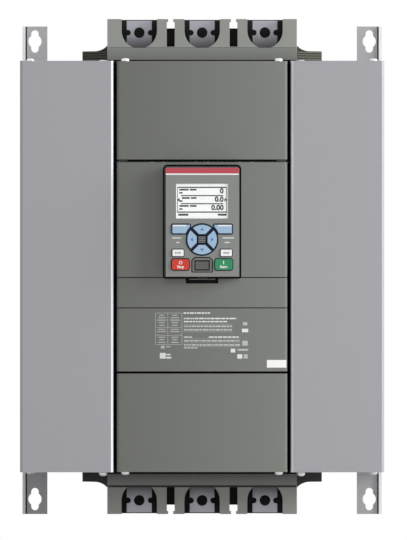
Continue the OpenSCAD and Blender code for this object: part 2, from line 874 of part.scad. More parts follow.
module bypass_bridges() color(copper) at_bypass()
    for (x = bypass_poles) slab(x - bridge_w / 2, x + bridge_w / 2, bridge_d, crossbar_d,
        -contact_z - contact_h / 2, contact_z + contact_h / 2);

module bypass_carrier() color([0.55, 0.16, 0.12]) at_bypass() {
    difference() {
        slab(-crossbar_half_w, crossbar_half_w, crossbar_d, crossbar_d + crossbar_t,
            -crossbar_half_h, crossbar_half_h);
        for (x = [-guide_x, guide_x]) translate([x, 0, 0])
            raise(crossbar_d - overcut, crossbar_d + crossbar_t + overcut) circle(guide_r + seat_gap);
    }
    both_sides() slab(carrier_leg_x, carrier_leg_x + carrier_leg_t, crossbar_d, armature_front + 2,
        -crossbar_half_h, crossbar_half_h);
    slab(-carrier_leg_x - overcut, carrier_leg_x + overcut, armature_front, armature_front + 2,
        -crossbar_half_h, crossbar_half_h);
}

module bypass_armature() color(zinc_grey) at_bypass()
    slab(-core_half_w, core_half_w, armature_d, armature_front, -bypass_half_h + 5, bypass_half_h - 5);

module bypass_core() color(zinc_grey) at_bypass() {
    inner = bypass_half_h - bypass_t;
    slab(-core_half_w, core_half_w, core_d, core_d + yoke_t, -inner, inner);
    slab(-core_half_w, core_half_w, core_d + yoke_t - overcut, leg_tip, -leg_half, leg_half);
    for (z = [-inner + 1, inner - 1 - outer_leg])
        slab(-core_half_w, core_half_w, core_d + yoke_t - overcut, leg_tip, z, z + outer_leg);
}

module bypass_coil() color(copper) at_bypass() difference() {
    slab(-core_half_w - coil_t, core_half_w + coil_t, core_d + yoke_t, leg_tip - 1,
        -leg_half - coil_t, leg_half + coil_t);
    slab(-core_half_w - seat_gap, core_half_w + seat_gap, core_d + yoke_t - overcut, leg_tip,
        -leg_half - seat_gap, leg_half + seat_gap);
}

// Control board with its terminals and the keypad's socket

relay_w = 16;
relay_l = 20;
relay_h = 15;
relay_pitch = 22;
relay_x = -54;
relay_z = 24;
can_r = 7;
can_h = 14;
can_pitch = 20;
can_x = 48;
chip_w = 22;
chip_t = 3;
chip_pitch = 35;
chip_drop = 20;

module control_board() color(board_green) {
    mid = (board_z0 + board_z1) / 2;
    foot = board_front - overcut / 2;
    slab(-board_w / 2, board_w / 2, board_back, board_front, board_z0, board_z1);
    for (i = [0 : 3]) translate([relay_x + i * relay_pitch, 0, control_bottom + relay_z])
        slab(-relay_w / 2, relay_w / 2, foot, board_front + relay_h, -relay_l / 2, relay_l / 2);
    for (i = [1 : 3]) translate([can_x, 0, control_bottom + i * can_pitch])
        raise(foot, board_front + can_h) circle(can_r);
    for (i = [-1 : 1]) translate([i * chip_pitch, 0, mid - chip_drop])
        slab(-chip_w / 2, chip_w / 2, foot, board_front + chip_t, -chip_w / 2, chip_w / 2);
}

terminal_count = 14;
terminal_pitch = 8;
terminal_low = control_top + 6;
terminal_h = 15;
terminal_front = board_front + terminal_h;
terminal_deep = 14;
clamp_r = 2;
clamp_back = 6;
entry_half = 2.4;
entry_back = 3;
entry_h = 6;

module control_terminals() color([0.16, 0.34, 0.22]) {
    half = terminal_count * terminal_pitch / 2;
    difference() {
        slab(-half, half, board_front, terminal_front, terminal_low, terminal_low + terminal_deep);
        for (i = [0 : terminal_count - 1])
            translate([-half + (i + 0.5) * terminal_pitch, 0, terminal_low]) {
            translate([0, 0, terminal_deep * 0.32])
                raise(board_front + clamp_back, terminal_front + overcut) circle(clamp_r);
            slab(-entry_half, entry_half, board_front + entry_back, board_front + entry_back + entry_h,
                terminal_deep * 0.6, terminal_deep + overcut);
        }
    }
}

module keypad_socket() color(black_plastic) at_keypad() difference() {
    socket_cut(board_front, bay_floor - seat_gap, 0);
    socket_cut(bay_floor - 10, bay_floor + overcut, -2.5);
}

// Keypad: rear shell, bezel, display, board and light pipes

keypad_wall = 2;
bezel_wall = 2.5;
keypad_split = keypad_face - 14;
key_flange = 0.8;
key_flange_t = 1.5;
key_back = keypad_face - 6.5;
dome_h = 0.4;
key_board_front = key_back - key_travel - 0.1 - dome_h;
key_board_t = 1.6;
window_sunk = 0.6;
window_back = keypad_face - 3.6;
panel_edge = 3;
trim_h = 5.4;
trim_drop = 1.7;
trim_sunk = 0.6;
trim_proud = 0.2;
trim_half = keypad_w / 2 - 1;
trim_z = keypad_h - trim_drop - trim_h;
light_r = 0.9;
light_x = 33;
light_low = 34.2;
light_step = 4.5;
light_gap = 0.1;
light_proud = 0.2;
light_z = [light_low, light_low + light_step];
boss_r = 3;
display_z = 75.2;
arrow_z = 37.1;
usb_z = 4.7;
usb_w = 19.4;
usb_h = 14.2;
usb_chamfer = 2.5;
usb_recess = 2.4;
usb_t = 2.2;
usb_rim = 1.2;
usb_rim_t = 2;
usb_rim_lap = 0.5;
usb_rim_low = 0.9;
port_half = 4.5;
port_low = 4.2;
port_h = 4.6;
port_deep = 3;
grip_w = 13.4;
grip_h = 8.4;
grip_z = 6.8;
grip_d = 0.8;
bead_r = usb_t / 2;
tongue_half = 13;
tongue_t = 0.9;
tongue_drop = 2.6;

module keypad_shell() color(bezel_grey) at_keypad() {
    board_back_d = key_board_front - key_board_t;
    difference() {
        raise(keypad_back, keypad_split) keypad_outline(0);
        raise(keypad_back + keypad_wall, keypad_split + overcut) keypad_outline(-keypad_wall);
        socket_cut(keypad_back - overcut, keypad_back + keypad_wall + overcut, 1);
    }
    for (x = [-1, 1], z = [10, keypad_h - 10]) translate([x * (keypad_w / 2 - 8), 0, z])
        raise(keypad_back + keypad_wall / 2, board_back_d) circle(boss_r);
    slab(-tongue_half, tongue_half, crown_depth - 9, crown_depth - 1, -tongue_drop, tongue_t - tongue_drop);
    slab(-5, 5, crown_depth - 9, crown_depth - 6.5, -tongue_drop, overcut);
}

// Outlines of the keys, in the keypad's own X and Z

soft_key_w = 17.6;
soft_key_x = 20.8;
soft_key_h = 8.7;
soft_key_z = 47.5;
soft_key_ring = 2.6;
arrow_in = 5.3;
arrow_cut = 2.1;
small_key_w = 11;
small_key_h = 6.6;
small_key_x = 23.9;
small_key_z = 23.9;
big_key_w = 17.6;
big_key_h = 10.7;
big_key_x = 21.2;
big_key_z = 12.4;
big_key_r = 2;

module soft_outline(grow) difference() {
    translate([soft_key_x, soft_key_z]) rounded(soft_key_w + 2 * grow, soft_key_h + 2 * grow, 0.8 + grow);
    translate([0, arrow_z]) circle(arrow_r + soft_key_ring - grow);
}

module arrow_outline(grow) {
    low = arrow_in - grow;
    slant = arrow_cut - grow * sqrt(2);
    far = arrow_r + 5;
    intersection() {
        circle(arrow_r + grow);
        polygon([[slant - low, low], [low - slant, low], [far - slant, far], [slant - far, far]]);
    }
}

module small_outline(grow) translate([small_key_x, small_key_z])
    rounded(small_key_w + 2 * grow, small_key_h + 2 * grow, 0.8 + grow);

// A large key: straight at its outer end and bulging at its inner end.
module big_outline(grow) intersection() {
    translate([big_key_x, big_key_z]) rounded(big_key_w + 2 * grow, big_key_h + 2 * grow, big_key_r + grow);
    translate([big_key_x + 4.4, big_key_z]) circle(13 + grow);
}

module usb_outline(grow) {
    half = usb_w / 2 + grow;
    top = usb_h + grow;
    cut = usb_chamfer;
    polygon([
        [-half, 0], [half, 0], [half, top - cut],
        [half - cut, top], [cut - half, top], [-half, top - cut]]);
}

module all_key_outlines(grow) {
    for (s = [0, 1]) mirror([s, 0]) {
        soft_outline(grow);
        small_outline(grow);
        big_outline(grow);
    }
    for (a = [0, 90, 180, 270]) translate([0, arrow_z]) rotate(a) arrow_outline(grow);
}

module keypad_bezel() color(bezel_grey) at_keypad() difference() {
    face = keypad_face;
    union() {
        difference() {
            raise(keypad_split, face) keypad_outline(0);
            raise(keypad_split - overcut, face - bezel_wall) keypad_outline(-keypad_wall);
        }
        translate([0, 0, usb_z]) slab(-usb_w / 2 - usb_rim, usb_w / 2 + usb_rim,
            face - usb_recess - usb_rim_t, face - bezel_wall + usb_rim_lap,
            -seat_gap - usb_rim_low, usb_h + usb_rim);
    }
    raise(face - bezel_wall - overcut, face + overcut) all_key_outlines(key_gap);
    translate([0, 0, display_z]) raise(face - bezel_wall - overcut, face + overcut)
        square([display_w, display_h], center = true);
    for (x = [-light_x, light_x], z = light_z) translate([x, 0, z])
        raise(face - bezel_wall - overcut, face + overcut) circle(light_r + light_gap);
    slab(-trim_half, trim_half, face - trim_sunk, face + overcut, trim_z, trim_z + trim_h);
    translate([0, 0, usb_z]) {
        raise(face - usb_recess, face + overcut) usb_outline(seat_gap);
        slab(-usb_w / 2 - seat_gap, usb_w / 2 + seat_gap, face - usb_recess, face + overcut,
            -seat_gap, overcut);
        slab(-port_half, port_half, face - usb_recess - port_deep, face, port_low, port_low + port_h);
    }
}

module keypad_trim() color([0.68, 0.10, 0.14]) at_keypad()
    slab(-trim_half, trim_half, keypad_face - trim_sunk, keypad_face + trim_proud, trim_z, trim_z + trim_h);

module display_window() color([0.85, 0.88, 0.88]) at_keypad() translate([0, 0, display_z])
    raise(window_back, keypad_face - window_sunk) square([display_w - 0.2, display_h - 0.2], center = true);

module display_panel() color([0.75, 0.78, 0.76]) at_keypad() translate([0, 0, display_z])
    raise(key_board_front, window_back)
        square([display_w + 2 * panel_edge, display_h + panel_edge], center = true);

dome_r = 2.2;
dome_ring = 10;
dome_lap = 0.2;
plug_half = 4;
plug_low = 4.5;
plug_h = 4;
plug_t = 0.5;
plug_gap = 0.3;

module key_dome() {
    raise(key_board_front - dome_lap, key_board_front + dome_h) circle(dome_r);
}

module keypad_board() color(board_green) at_keypad() {
    raise(key_board_front - key_board_t, key_board_front) keypad_outline(-keypad_wall - 0.5);
    pairs = [[soft_key_x + 2, soft_key_z], [small_key_x, small_key_z], [big_key_x + 2, big_key_z]];
    for (s = [-1, 1], p = pairs) translate([s * p[0], 0, p[1]]) key_dome();
    for (a = [0, 90, 180, 270]) translate([dome_ring * sin(a), 0, arrow_z + dome_ring * cos(a)]) key_dome();
    translate([0, 0, usb_z]) difference() {
        slab(-plug_half, plug_half, key_board_front - dome_lap,
            keypad_face - usb_recess - usb_rim_t - plug_gap, plug_low, plug_low + plug_h);
        slab(plug_t - plug_half, plug_half - plug_t, key_board_front + plug_t, keypad_face,
            plug_low + plug_t, plug_low + plug_h - plug_t);
    }
}

module status_lights() color([0.80, 0.84, 0.78]) at_keypad()
    for (x = [-light_x, light_x], z = light_z) translate([x, 0, z])
        raise(key_board_front, keypad_face + light_proud) circle(light_r);

// Keys: each a cap through the bezel, with a flange behind it that keeps it in

module key_body() {
    flange_front = keypad_face - bezel_wall - seat_gap;
    raise(flange_front - key_flange_t, flange_front) children(1);
    raise(key_back, keypad_face + key_rise) children(0);
}

module soft_key(side) color(key_blue) at_keypad() mirror([side, 0, 0]) key_body() {
    soft_outline(0);
    soft_outline(key_flange);
}

module arrow_key(angle) color(key_blue) at_keypad()
    translate([0, 0, arrow_z]) rotate([0, -angle, 0]) key_body() {
        arrow_outline(0);
        arrow_outline(key_flange);
    }

module small_key(side) color([0.88, 0.89, 0.88]) at_keypad() mirror([side, 0, 0]) key_body() {
    small_outline(0);
    small_outline(key_flange);
}

module big_key(side) at_keypad() mirror([side, 0, 0]) key_body() {
    big_outline(0);
    big_outline(key_flange);
}

module soft_key_left() soft_key(1);
module soft_key_right() soft_key(0);
module arrow_key_up() arrow_key(0);
module arrow_key_left() arrow_key(90);
module arrow_key_down() arrow_key(180);
module arrow_key_right() arrow_key(270);
module mode_key() small_key(1);
module info_key() small_key(0);
module stop_key() color([0.76, 0.18, 0.15]) big_key(1);
module start_key() color([0.13, 0.55, 0.34]) big_key(0);

// Flap over the data port, hinged on a round bead at its lower edge

module usb_flap() color(bezel_grey) at_keypad() translate([0, 0, usb_z]) {
    front = keypad_face + trim_proud;
    difference() {
        raise(front - usb_t, front) difference() {
            usb_outline(0);
            translate([-usb_w, -usb_h]) square([2 * usb_w, usb_h + bead_r]);
        }
        translate([0, 0, grip_z]) raise(front - grip_d, front + overcut) rounded(grip_w, grip_h, big_key_r);
    }
    translate([-usb_w / 2, bead_r - front, bead_r]) rotate([0, 90, 0]) cylinder(h = usb_w, r = bead_r);
}

chassis();
left_side_cover();
right_side_cover();
main_housing();
upper_front_cover();
control_cover();
lower_front_cover();
line_terminal_block();
load_terminal_block();
enclosure_screws();
line_busbar_l1();
line_busbar_l2();
line_busbar_l3();
load_busbar_t1();
load_busbar_t2();
load_busbar_t3();
heat_sink_left();
heat_sink_centre();
heat_sink_right();
thyristor_module_left();
thyristor_module_centre();
thyristor_module_right();
fan_frame_left();
fan_frame_centre();
fan_frame_right();
fan_rotor_left();
fan_rotor_centre();
fan_rotor_right();
current_transformer_left();
current_transformer_centre();
current_transformer_right();
bypass_base();
bypass_fixed_contacts();
bypass_core();
bypass_coil();
bypass_carrier();
bypass_armature();
bypass_bridges();
control_board();
control_terminals();
keypad_socket();
keypad_shell();
keypad_bezel();
keypad_trim();
display_window();
display_panel();
keypad_board();
status_lights();
soft_key_left();
soft_key_right();
arrow_key_up();
arrow_key_down();
arrow_key_left();
arrow_key_right();
mode_key();
info_key();
stop_key();
start_key();
usb_flap();
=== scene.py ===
"""Finishes a wall-mounted soft starter: its covers, terminals, keypad and inner works, and its stage."""

import json
import math
import random
from typing import NamedTuple

import bmesh
import bpy
from bpy.props import FloatProperty, FloatVectorProperty, IntProperty, PointerProperty
from mathutils import Color, Matrix, Vector


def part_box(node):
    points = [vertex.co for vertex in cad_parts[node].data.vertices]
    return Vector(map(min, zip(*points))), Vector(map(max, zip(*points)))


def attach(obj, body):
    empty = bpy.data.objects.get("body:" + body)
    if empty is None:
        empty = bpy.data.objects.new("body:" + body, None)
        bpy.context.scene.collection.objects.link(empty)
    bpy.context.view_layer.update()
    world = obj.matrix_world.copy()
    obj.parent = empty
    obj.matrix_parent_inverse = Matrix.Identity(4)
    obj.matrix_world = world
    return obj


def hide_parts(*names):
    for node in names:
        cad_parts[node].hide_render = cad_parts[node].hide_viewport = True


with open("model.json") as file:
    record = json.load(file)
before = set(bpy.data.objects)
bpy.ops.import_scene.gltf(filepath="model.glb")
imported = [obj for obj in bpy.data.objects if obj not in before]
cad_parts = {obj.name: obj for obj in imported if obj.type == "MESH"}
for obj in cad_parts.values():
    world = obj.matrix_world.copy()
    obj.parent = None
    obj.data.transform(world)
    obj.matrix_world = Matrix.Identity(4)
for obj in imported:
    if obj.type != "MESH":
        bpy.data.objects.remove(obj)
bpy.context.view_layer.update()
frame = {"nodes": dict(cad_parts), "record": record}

bl_info = {
    "name": "Soft Starter Finish",
    "version": (1, 0, 0),
    "blender": (4, 5, 0),
    "location": "View3D > Sidebar > Starter",
    "description": "Finishes the pieces of a wall-mounted soft starter and sets its stage",
    "category": "Object",
}

# Sizes below are in millimetres. MM turns them into Blender's metres.
MM = 0.001
MERGE = 0.002
FLAT = math.radians(0.25)
SHARP = math.radians(32)
MITRE_LEAST = 0.5
CAPITAL_SHARE = 0.7
NODE_BODY = {
    node: body
    for body, nodes in frame["record"]["behaviour"]["bodies"].items()
    for node in nodes
}
ARROW_KEYS = ("arrow_key_up", "arrow_key_left", "arrow_key_down", "arrow_key_right")
SOFT_KEYS = ("soft_key_left", "soft_key_right")
WHITE_KEYS = ("mode_key", "info_key")
COLUMNS = ("left", "centre", "right")
POLE_PITCH = 62.6
POLE_MIDDLE = 3.7
STRIP_WIDE = 187.0


# Sizes and colours that a user would change

def shade(name, description, *rgb):
    """A colour as a screen shows it, from 0 to 255."""
    return FloatVectorProperty(
        name=name, description=description, subtype="COLOR_GAMMA", size=3, min=0, max=1,
        default=[level / 255 for level in rgb])


def length(name, description, millimetres):
    """A length in Blender's unit, from millimetres."""
    return FloatProperty(
        name=name, description=description, unit="LENGTH", subtype="DISTANCE", min=0,
        precision=5, default=millimetres * MM)


class StarterColours(bpy.types.PropertyGroup):
    """Colours of the finishes."""

    sheet: shade("Cover sheet", "Coated steel of the side covers", 164, 164, 169)
    chassis: shade("Chassis", "Galvanised steel of the folded chassis", 181, 181, 184)
    front: shade("Front covers", "Moulded front covers", 118, 120, 115)
    block: shade("Terminal blocks", "Moulded terminal blocks", 158, 160, 155)
    strip: shade("Strips", "Strips between the terminal blocks and the covers", 130, 132, 127)
    # This colour also paints the load block's ribs darker, as painted shade.
    wing: shade("Wings", "Side wings of the terminal blocks", 46, 47, 42)
    rib: shade("Ribs", "Ribs along the wings", 106, 107, 94)
    # Besides real black parts, this black paints the shade in the bay depths, the control cover's recesses
    # and the load block's wings.
    black: shade("Black mouldings", "Fans, modules and the depths of the terminal bays", 28, 28, 28)
    # Painted shadow: this near black stands in for shade in gaps, corners, the comb and round the port
    # flap.
    foam: shade("Foam", "Foam seals", 14, 14, 15)
    tin: shade("Tinned bars", "Tin plate on the copper bars", 150, 150, 158)
    zinc: shade("Zinc plate", "Screws and small steel pieces", 238, 238, 241)
    aluminium: shade("Aluminium", "Extruded heat sinks", 178, 180, 183)
    copper: shade("Copper", "Bypass contacts and coil", 190, 116, 78)
    carrier: shade("Carrier", "Bypass contact carrier", 140, 42, 32)
    board: shade("Circuit boards", "Solder mask", 22, 84, 48)
    clamp: shade("Control terminals", "Pluggable control terminals", 44, 92, 58)
    bezel: shade("Keypad", "Keypad mouldings", 136, 138, 135)
    # Besides the keypad's back, this colour paints shade on the keypad's edge, the comb's ledges and line,
    # and the strip lines.
    shell: shade("Keypad back", "Dark back of the keypad", 52, 54, 52)
    trim: shade("Trim", "Red band at the head of the keypad", 186, 70, 82)
    flap: shade("Port flap", "Rubber flap over the data port", 116, 118, 115)
    grip: shade("Flap grip", "Sunk grip of the port flap", 106, 108, 105)
    gasket: shade("Key mat", "Dark mat between the keys", 26, 34, 52)
    blue: shade("Blue keys", "Soft keys and arrow keys", 160, 188, 216)
    symbol: shade("Arrow symbols", "Symbols on the arrow keys", 86, 126, 178)
    white: shade("White keys", "Mode and information keys", 246, 245, 245)
    red: shade("Stop key", "Stop key", 200, 56, 36)
    green: shade("Start key", "Start key", 34, 134, 88)
    screen: shade("Screen", "Lit face of the display", 241, 243, 242)
    ink: shade("Ink", "Dark segments on the display", 18, 19, 20)
    print_ink: shade("Print", "Light print on the front", 228, 230, 226)
    rule_ink: shade("Rules", "Dimmer rules on the front", 186, 188, 184)
    paper: shade("Label", "Blank paper label", 240, 240, 238)
    pipe: shade("Light pipes", "Clear status lights", 150, 156, 146)


class StarterEdges(bpy.types.PropertyGroup):
    """Radii on the edges of the finished pieces."""

    sheet: length("Sheet edge", "Radius on the cut edges of steel sheet", 0.3)
    moulding: length("Moulding edge", "Radius on the edges of the front covers", 0.7)
    block: length("Block edge", "Radius on the edges of the terminal blocks", 0.8)
    bar: length("Bar edge", "Radius on the edges of the terminal bars", 0.5)
    keypad: length("Keypad edge", "Radius on the edges of the keypad", 0.5)
    key: length("Key edge", "Radius on the edges of the keys", 0.9)
    thin: length("Thin edge", "Radius on thin trim", 0.12)


class StarterPrint(bpy.types.PropertyGroup):
    """Print, labels and display segments."""

    thickness: length("Film", "Thickness of a printed film", 0.04)
    line: length("Rule", "Width of a printed rule", 0.45)
    seed: IntProperty(name="Seed", description="Seed for the lengths of the printed bars", default=7)


class StarterStage(bpy.types.PropertyGroup):
    """Camera and light."""

    lens: FloatProperty(name="Lens", description="Focal length in millimetres", default=1250)
    frame_height: length("Frame height", "Height that the picture covers at the object", 536.9)
    aim_x: length("Aim across", "Picture centre to the right of the middle", 1.4)
    aim_z: length("Aim up", "Picture centre above the middle", 0.25)
    aim_depth: length("Aim depth", "Depth in front of the wall at which the frame is measured", 205)
    key_level: FloatProperty(name="Key", description="Light from the softbox at the right", default=1.01)
    fill_level: FloatProperty(name="Fill", description="Light from the front softbox", default=0.19)
    ambient: FloatProperty(name="Ambient", description="Light from all round", default=0.25)
    floor_drop: length("Floor", "Depth of the floor below the middle", 292)


class StarterSettings(bpy.types.PropertyGroup):
    """All settings of the finish."""

    colours: PointerProperty(type=StarterColours)
    edges: PointerProperty(type=StarterEdges)
    print: PointerProperty(type=StarterPrint)
    stage: PointerProperty(type=StarterStage)


def tone(name, level=1.0):
    """A named colour as linear RGBA, made lighter or darker by a level."""
    plain = Color(getattr(bpy.context.scene.starter.colours, name)).from_srgb_to_scene_linear()
    return tuple(min(1.0, part * level) for part in plain) + (1.0,)


# Materials

class Value:
    """A node's output. Arithmetic on it adds Math nodes."""

    def __init__(self, finish, socket):
        self.finish = finish
        self.socket = socket

    def math(self, operation, first, second=0.0):
        return self.finish.node("Math", {"operation": operation}, {0: first, 1: second})

    def __add__(self, other):
        return self.math("ADD", self, other)

    def __sub__(self, other):
        return self.math("SUBTRACT", self, other)

    def __rsub__(self, other):
        return self.math("SUBTRACT", other, self)

    def __mul__(self, other):
        return self.math("MULTIPLY", self, other)

    def __gt__(self, other):
        return self.math("GREATER_THAN", self, other)

    def __abs__(self):
        return self.math("ABSOLUTE", self)

    def most(self, other):
        return self.math("MAXIMUM", self, other)

    __radd__ = __add__
    __rmul__ = __mul__


class Finish:
    """A node tree of a material or the world, and the method that adds its nodes."""

    def __init__(self, owner):
        owner.use_nodes = True
        self.owner = owner
        self.tree = owner.node_tree
        self.tree.nodes.clear()

    def node(self, kind, options=None, inputs=None, output=0):
        made = self.tree.nodes.new("ShaderNode" + kind)
        for name, value in (options or {}).items():
            setattr(made, name, value)
        for name, value in (inputs or {}).items():
            if isinstance(value, Value):
                self.tree.links.new(value.socket, made.inputs[name])
            else:
                made.inputs[name].default_value = value
        return Value(self, made.outputs[output]) if made.outputs else None

    def spot(self, stretch=(1, 1, 1), turn=(0, 0, 0)):
        """Object coordinates in metres, stretched and turned."""
        plain = self.node("TexCoord", output="Object")
        return self.node("Mapping", None, {"Vector": plain, "Scale": stretch, "Rotation": turn})

    def noise(self, scale, detail=2.0, stretch=(1, 1, 1)):
        return self.node("TexNoise", None, {
            "Vector": self.spot(stretch), "Scale": scale, "Detail": detail}, "Fac")

    def ramp(self, value, low, high, start=0.0, end=1.0):
        """Eases from start to end while a value goes from low to high."""
        return self.node("MapRange", {"interpolation_type": "SMOOTHSTEP"}, {
            "Value": value, "From Min": low, "From Max": high, "To Min": start, "To Max": end}, "Result")

    def blend(self, amount, first, second, way="MIX"):
        """Blends two colours. A Mix node's colour sockets share their names, so they go by number."""
        return self.node("Mix", {"data_type": "RGBA", "blend_type": way}, {
            0: amount, 6: first, 7: second}, 2)

    def bump(self, height, strength, depth=0.1):
        return self.node("Bump", None, {
            "Height": height, "Strength": strength, "Distance": depth * MM}, "Normal")

    def painted_shade_along_z(self, base, near, far, dark, bright):
        """A colour that goes from dark to bright along Z, both ways from the middle of the poles, as
        painted shade and light.
        """
        height = self.node("SeparateXYZ", None, {0: self.spot()}, "Z")
        level = self.ramp(abs(height - POLE_MIDDLE * MM), near * MM, far * MM, dark, bright)
        return self.blend(1.0, base, level, "MULTIPLY")

    def close(self, inputs):
        shader = self.node("BsdfPrincipled", None, inputs)
        self.node("OutputMaterial", None, {"Surface": shader})
        return self.owner


def surface(name, colour, rough=0.5, spread=0.1, mottle=0.04, patch=55, grain=0.12, grit=2600,
            stretch=(1, 1, 1), metal=0.0, gloss=0.35, coat=0.0, painted_edge_shading=0.3, bright=1.35, tip=None):
    """A moulded, rolled or plated finish, with mottling and fine grain, and a painted highlight along
    rounded edges where bright is above 1 and painted shade where it is below 1.
    """
    skin = Finish(bpy.data.materials.new(name))
    broad = skin.noise(patch, 3, stretch)
    fine = skin.noise(grit, 2, stretch)
    base = skin.blend(broad * 0.6 + fine * 0.4, tone(colour, 1 - mottle), tone(colour, 1 + mottle))
    # Painted edge light: faces marked in the edge attribute blend towards the colour times bright, a
    # painted highlight above 1, painted shade below 1.
    edge = skin.node("Attribute", {"attribute_name": "edge"}, output="Fac")
    base = skin.blend(edge * broad * painted_edge_shading, base, tone(colour, bright))
    # Painted shade and light: a ramp along Z darkens the bars deep in the bays and the strips next to the
    # covers.
    if tip:
        base = skin.painted_shade_along_z(base, *tip)
    return skin.close({
        "Base Color": base,
        "Roughness": (broad - 0.5) * spread + (fine - 0.5) * spread + rough,
        "Normal": skin.bump(fine, grain),
        "Metallic": metal,
        "Specular IOR Level": gloss,
        "Coat Weight": coat,
        "Coat Roughness": 0.12,
    })


def laminated(name):
    """Stacked sheets of core steel, with a fine line at each sheet."""
    skin = Finish(bpy.data.materials.new(name))
    lines = skin.node("TexWave", {"bands_direction": "X"}, {
        "Vector": skin.spot(), "Scale": 620.0, "Distortion": 0.4, "Detail": 1.0}, "Fac")
    broad = skin.noise(90, 3)
    base = skin.blend(lines * 0.7 + broad * 0.3, tone("zinc", 0.55), tone("zinc", 0.95))
    return skin.close({
        "Base Color": base, "Metallic": 0.8, "Roughness": broad * 0.2 + 0.38,
        "Normal": skin.bump(lines, 0.25)})


def wound(name):
    """Enamelled copper wire laid in close turns."""
    skin = Finish(bpy.data.materials.new(name))
    turns = skin.node("TexWave", {"bands_direction": "Y"}, {
        "Vector": skin.spot(), "Scale": 330.0, "Distortion": 0.6, "Detail": 1.5}, "Fac")
    base = skin.blend(turns, tone("copper", 0.4), tone("copper", 1.1))
    return skin.close({
        "Base Color": base, "Metallic": 0.7, "Roughness": 0.42 - turns * 0.12,
        "Normal": skin.bump(turns, 0.6, 0.3)})


def etched(name):
    """Circuit board with solder mask over its tracks, and bright pads."""
    skin = Finish(bpy.data.materials.new(name))
    tracks = skin.node("TexBrick", None, {
        "Vector": skin.spot(turn=(math.pi / 2, 0, 0)), "Scale": 190.0, "Mortar Size": 0.035,
        "Brick Width": 0.9, "Row Height": 0.22}, "Fac")
    cells = skin.node("TexVoronoi", {"feature": "F1"}, {"Vector": skin.spot(), "Scale": 260.0}, "Distance")
    pads = 1 - (cells > 0.16)
    fine = skin.noise(1800)
    mask = skin.blend(tracks * 0.8 + fine * 0.2, tone("board", 0.8), tone("board", 1.6))
    return skin.close({
        "Base Color": skin.blend(pads, mask, tone("tin", 1.1)), "Metallic": pads * 0.9,
        "Roughness": 0.34 + fine * 0.16, "Normal": skin.bump(tracks, 0.2)})


def lit_screen(name):
    """Lit display face with a fine grid of cells."""
    skin = Finish(bpy.data.materials.new(name))
    cells = skin.node("TexBrick", {"offset": 0.0}, {
        "Vector": skin.spot(turn=(math.pi / 2, 0, 0)), "Scale": 1.0, "Mortar Size": 0.02 * MM,
        "Brick Width": 0.21 * MM, "Row Height": 0.21 * MM}, "Fac")
    haze = skin.noise(45)
    face = skin.blend(cells * 0.35 + haze * 0.3, tone("screen"), tone("screen", 0.88))
    return skin.close({
        "Base Color": face, "Roughness": 0.32 + haze * 0.1, "Emission Color": face,
        "Emission Strength": 0.22, "Specular IOR Level": 0.2})


def clear_pane(name):
    """Thin clear pane, slightly smeared."""
    skin = Finish(bpy.data.materials.new(name))
    smear = skin.noise(60, 3)
    return skin.close({
        "Base Color": (0.9, 0.93, 0.93, 1), "Roughness": smear * 0.06 + 0.03,
        "Alpha": smear * 0.04 + 0.03, "IOR": 1.46})


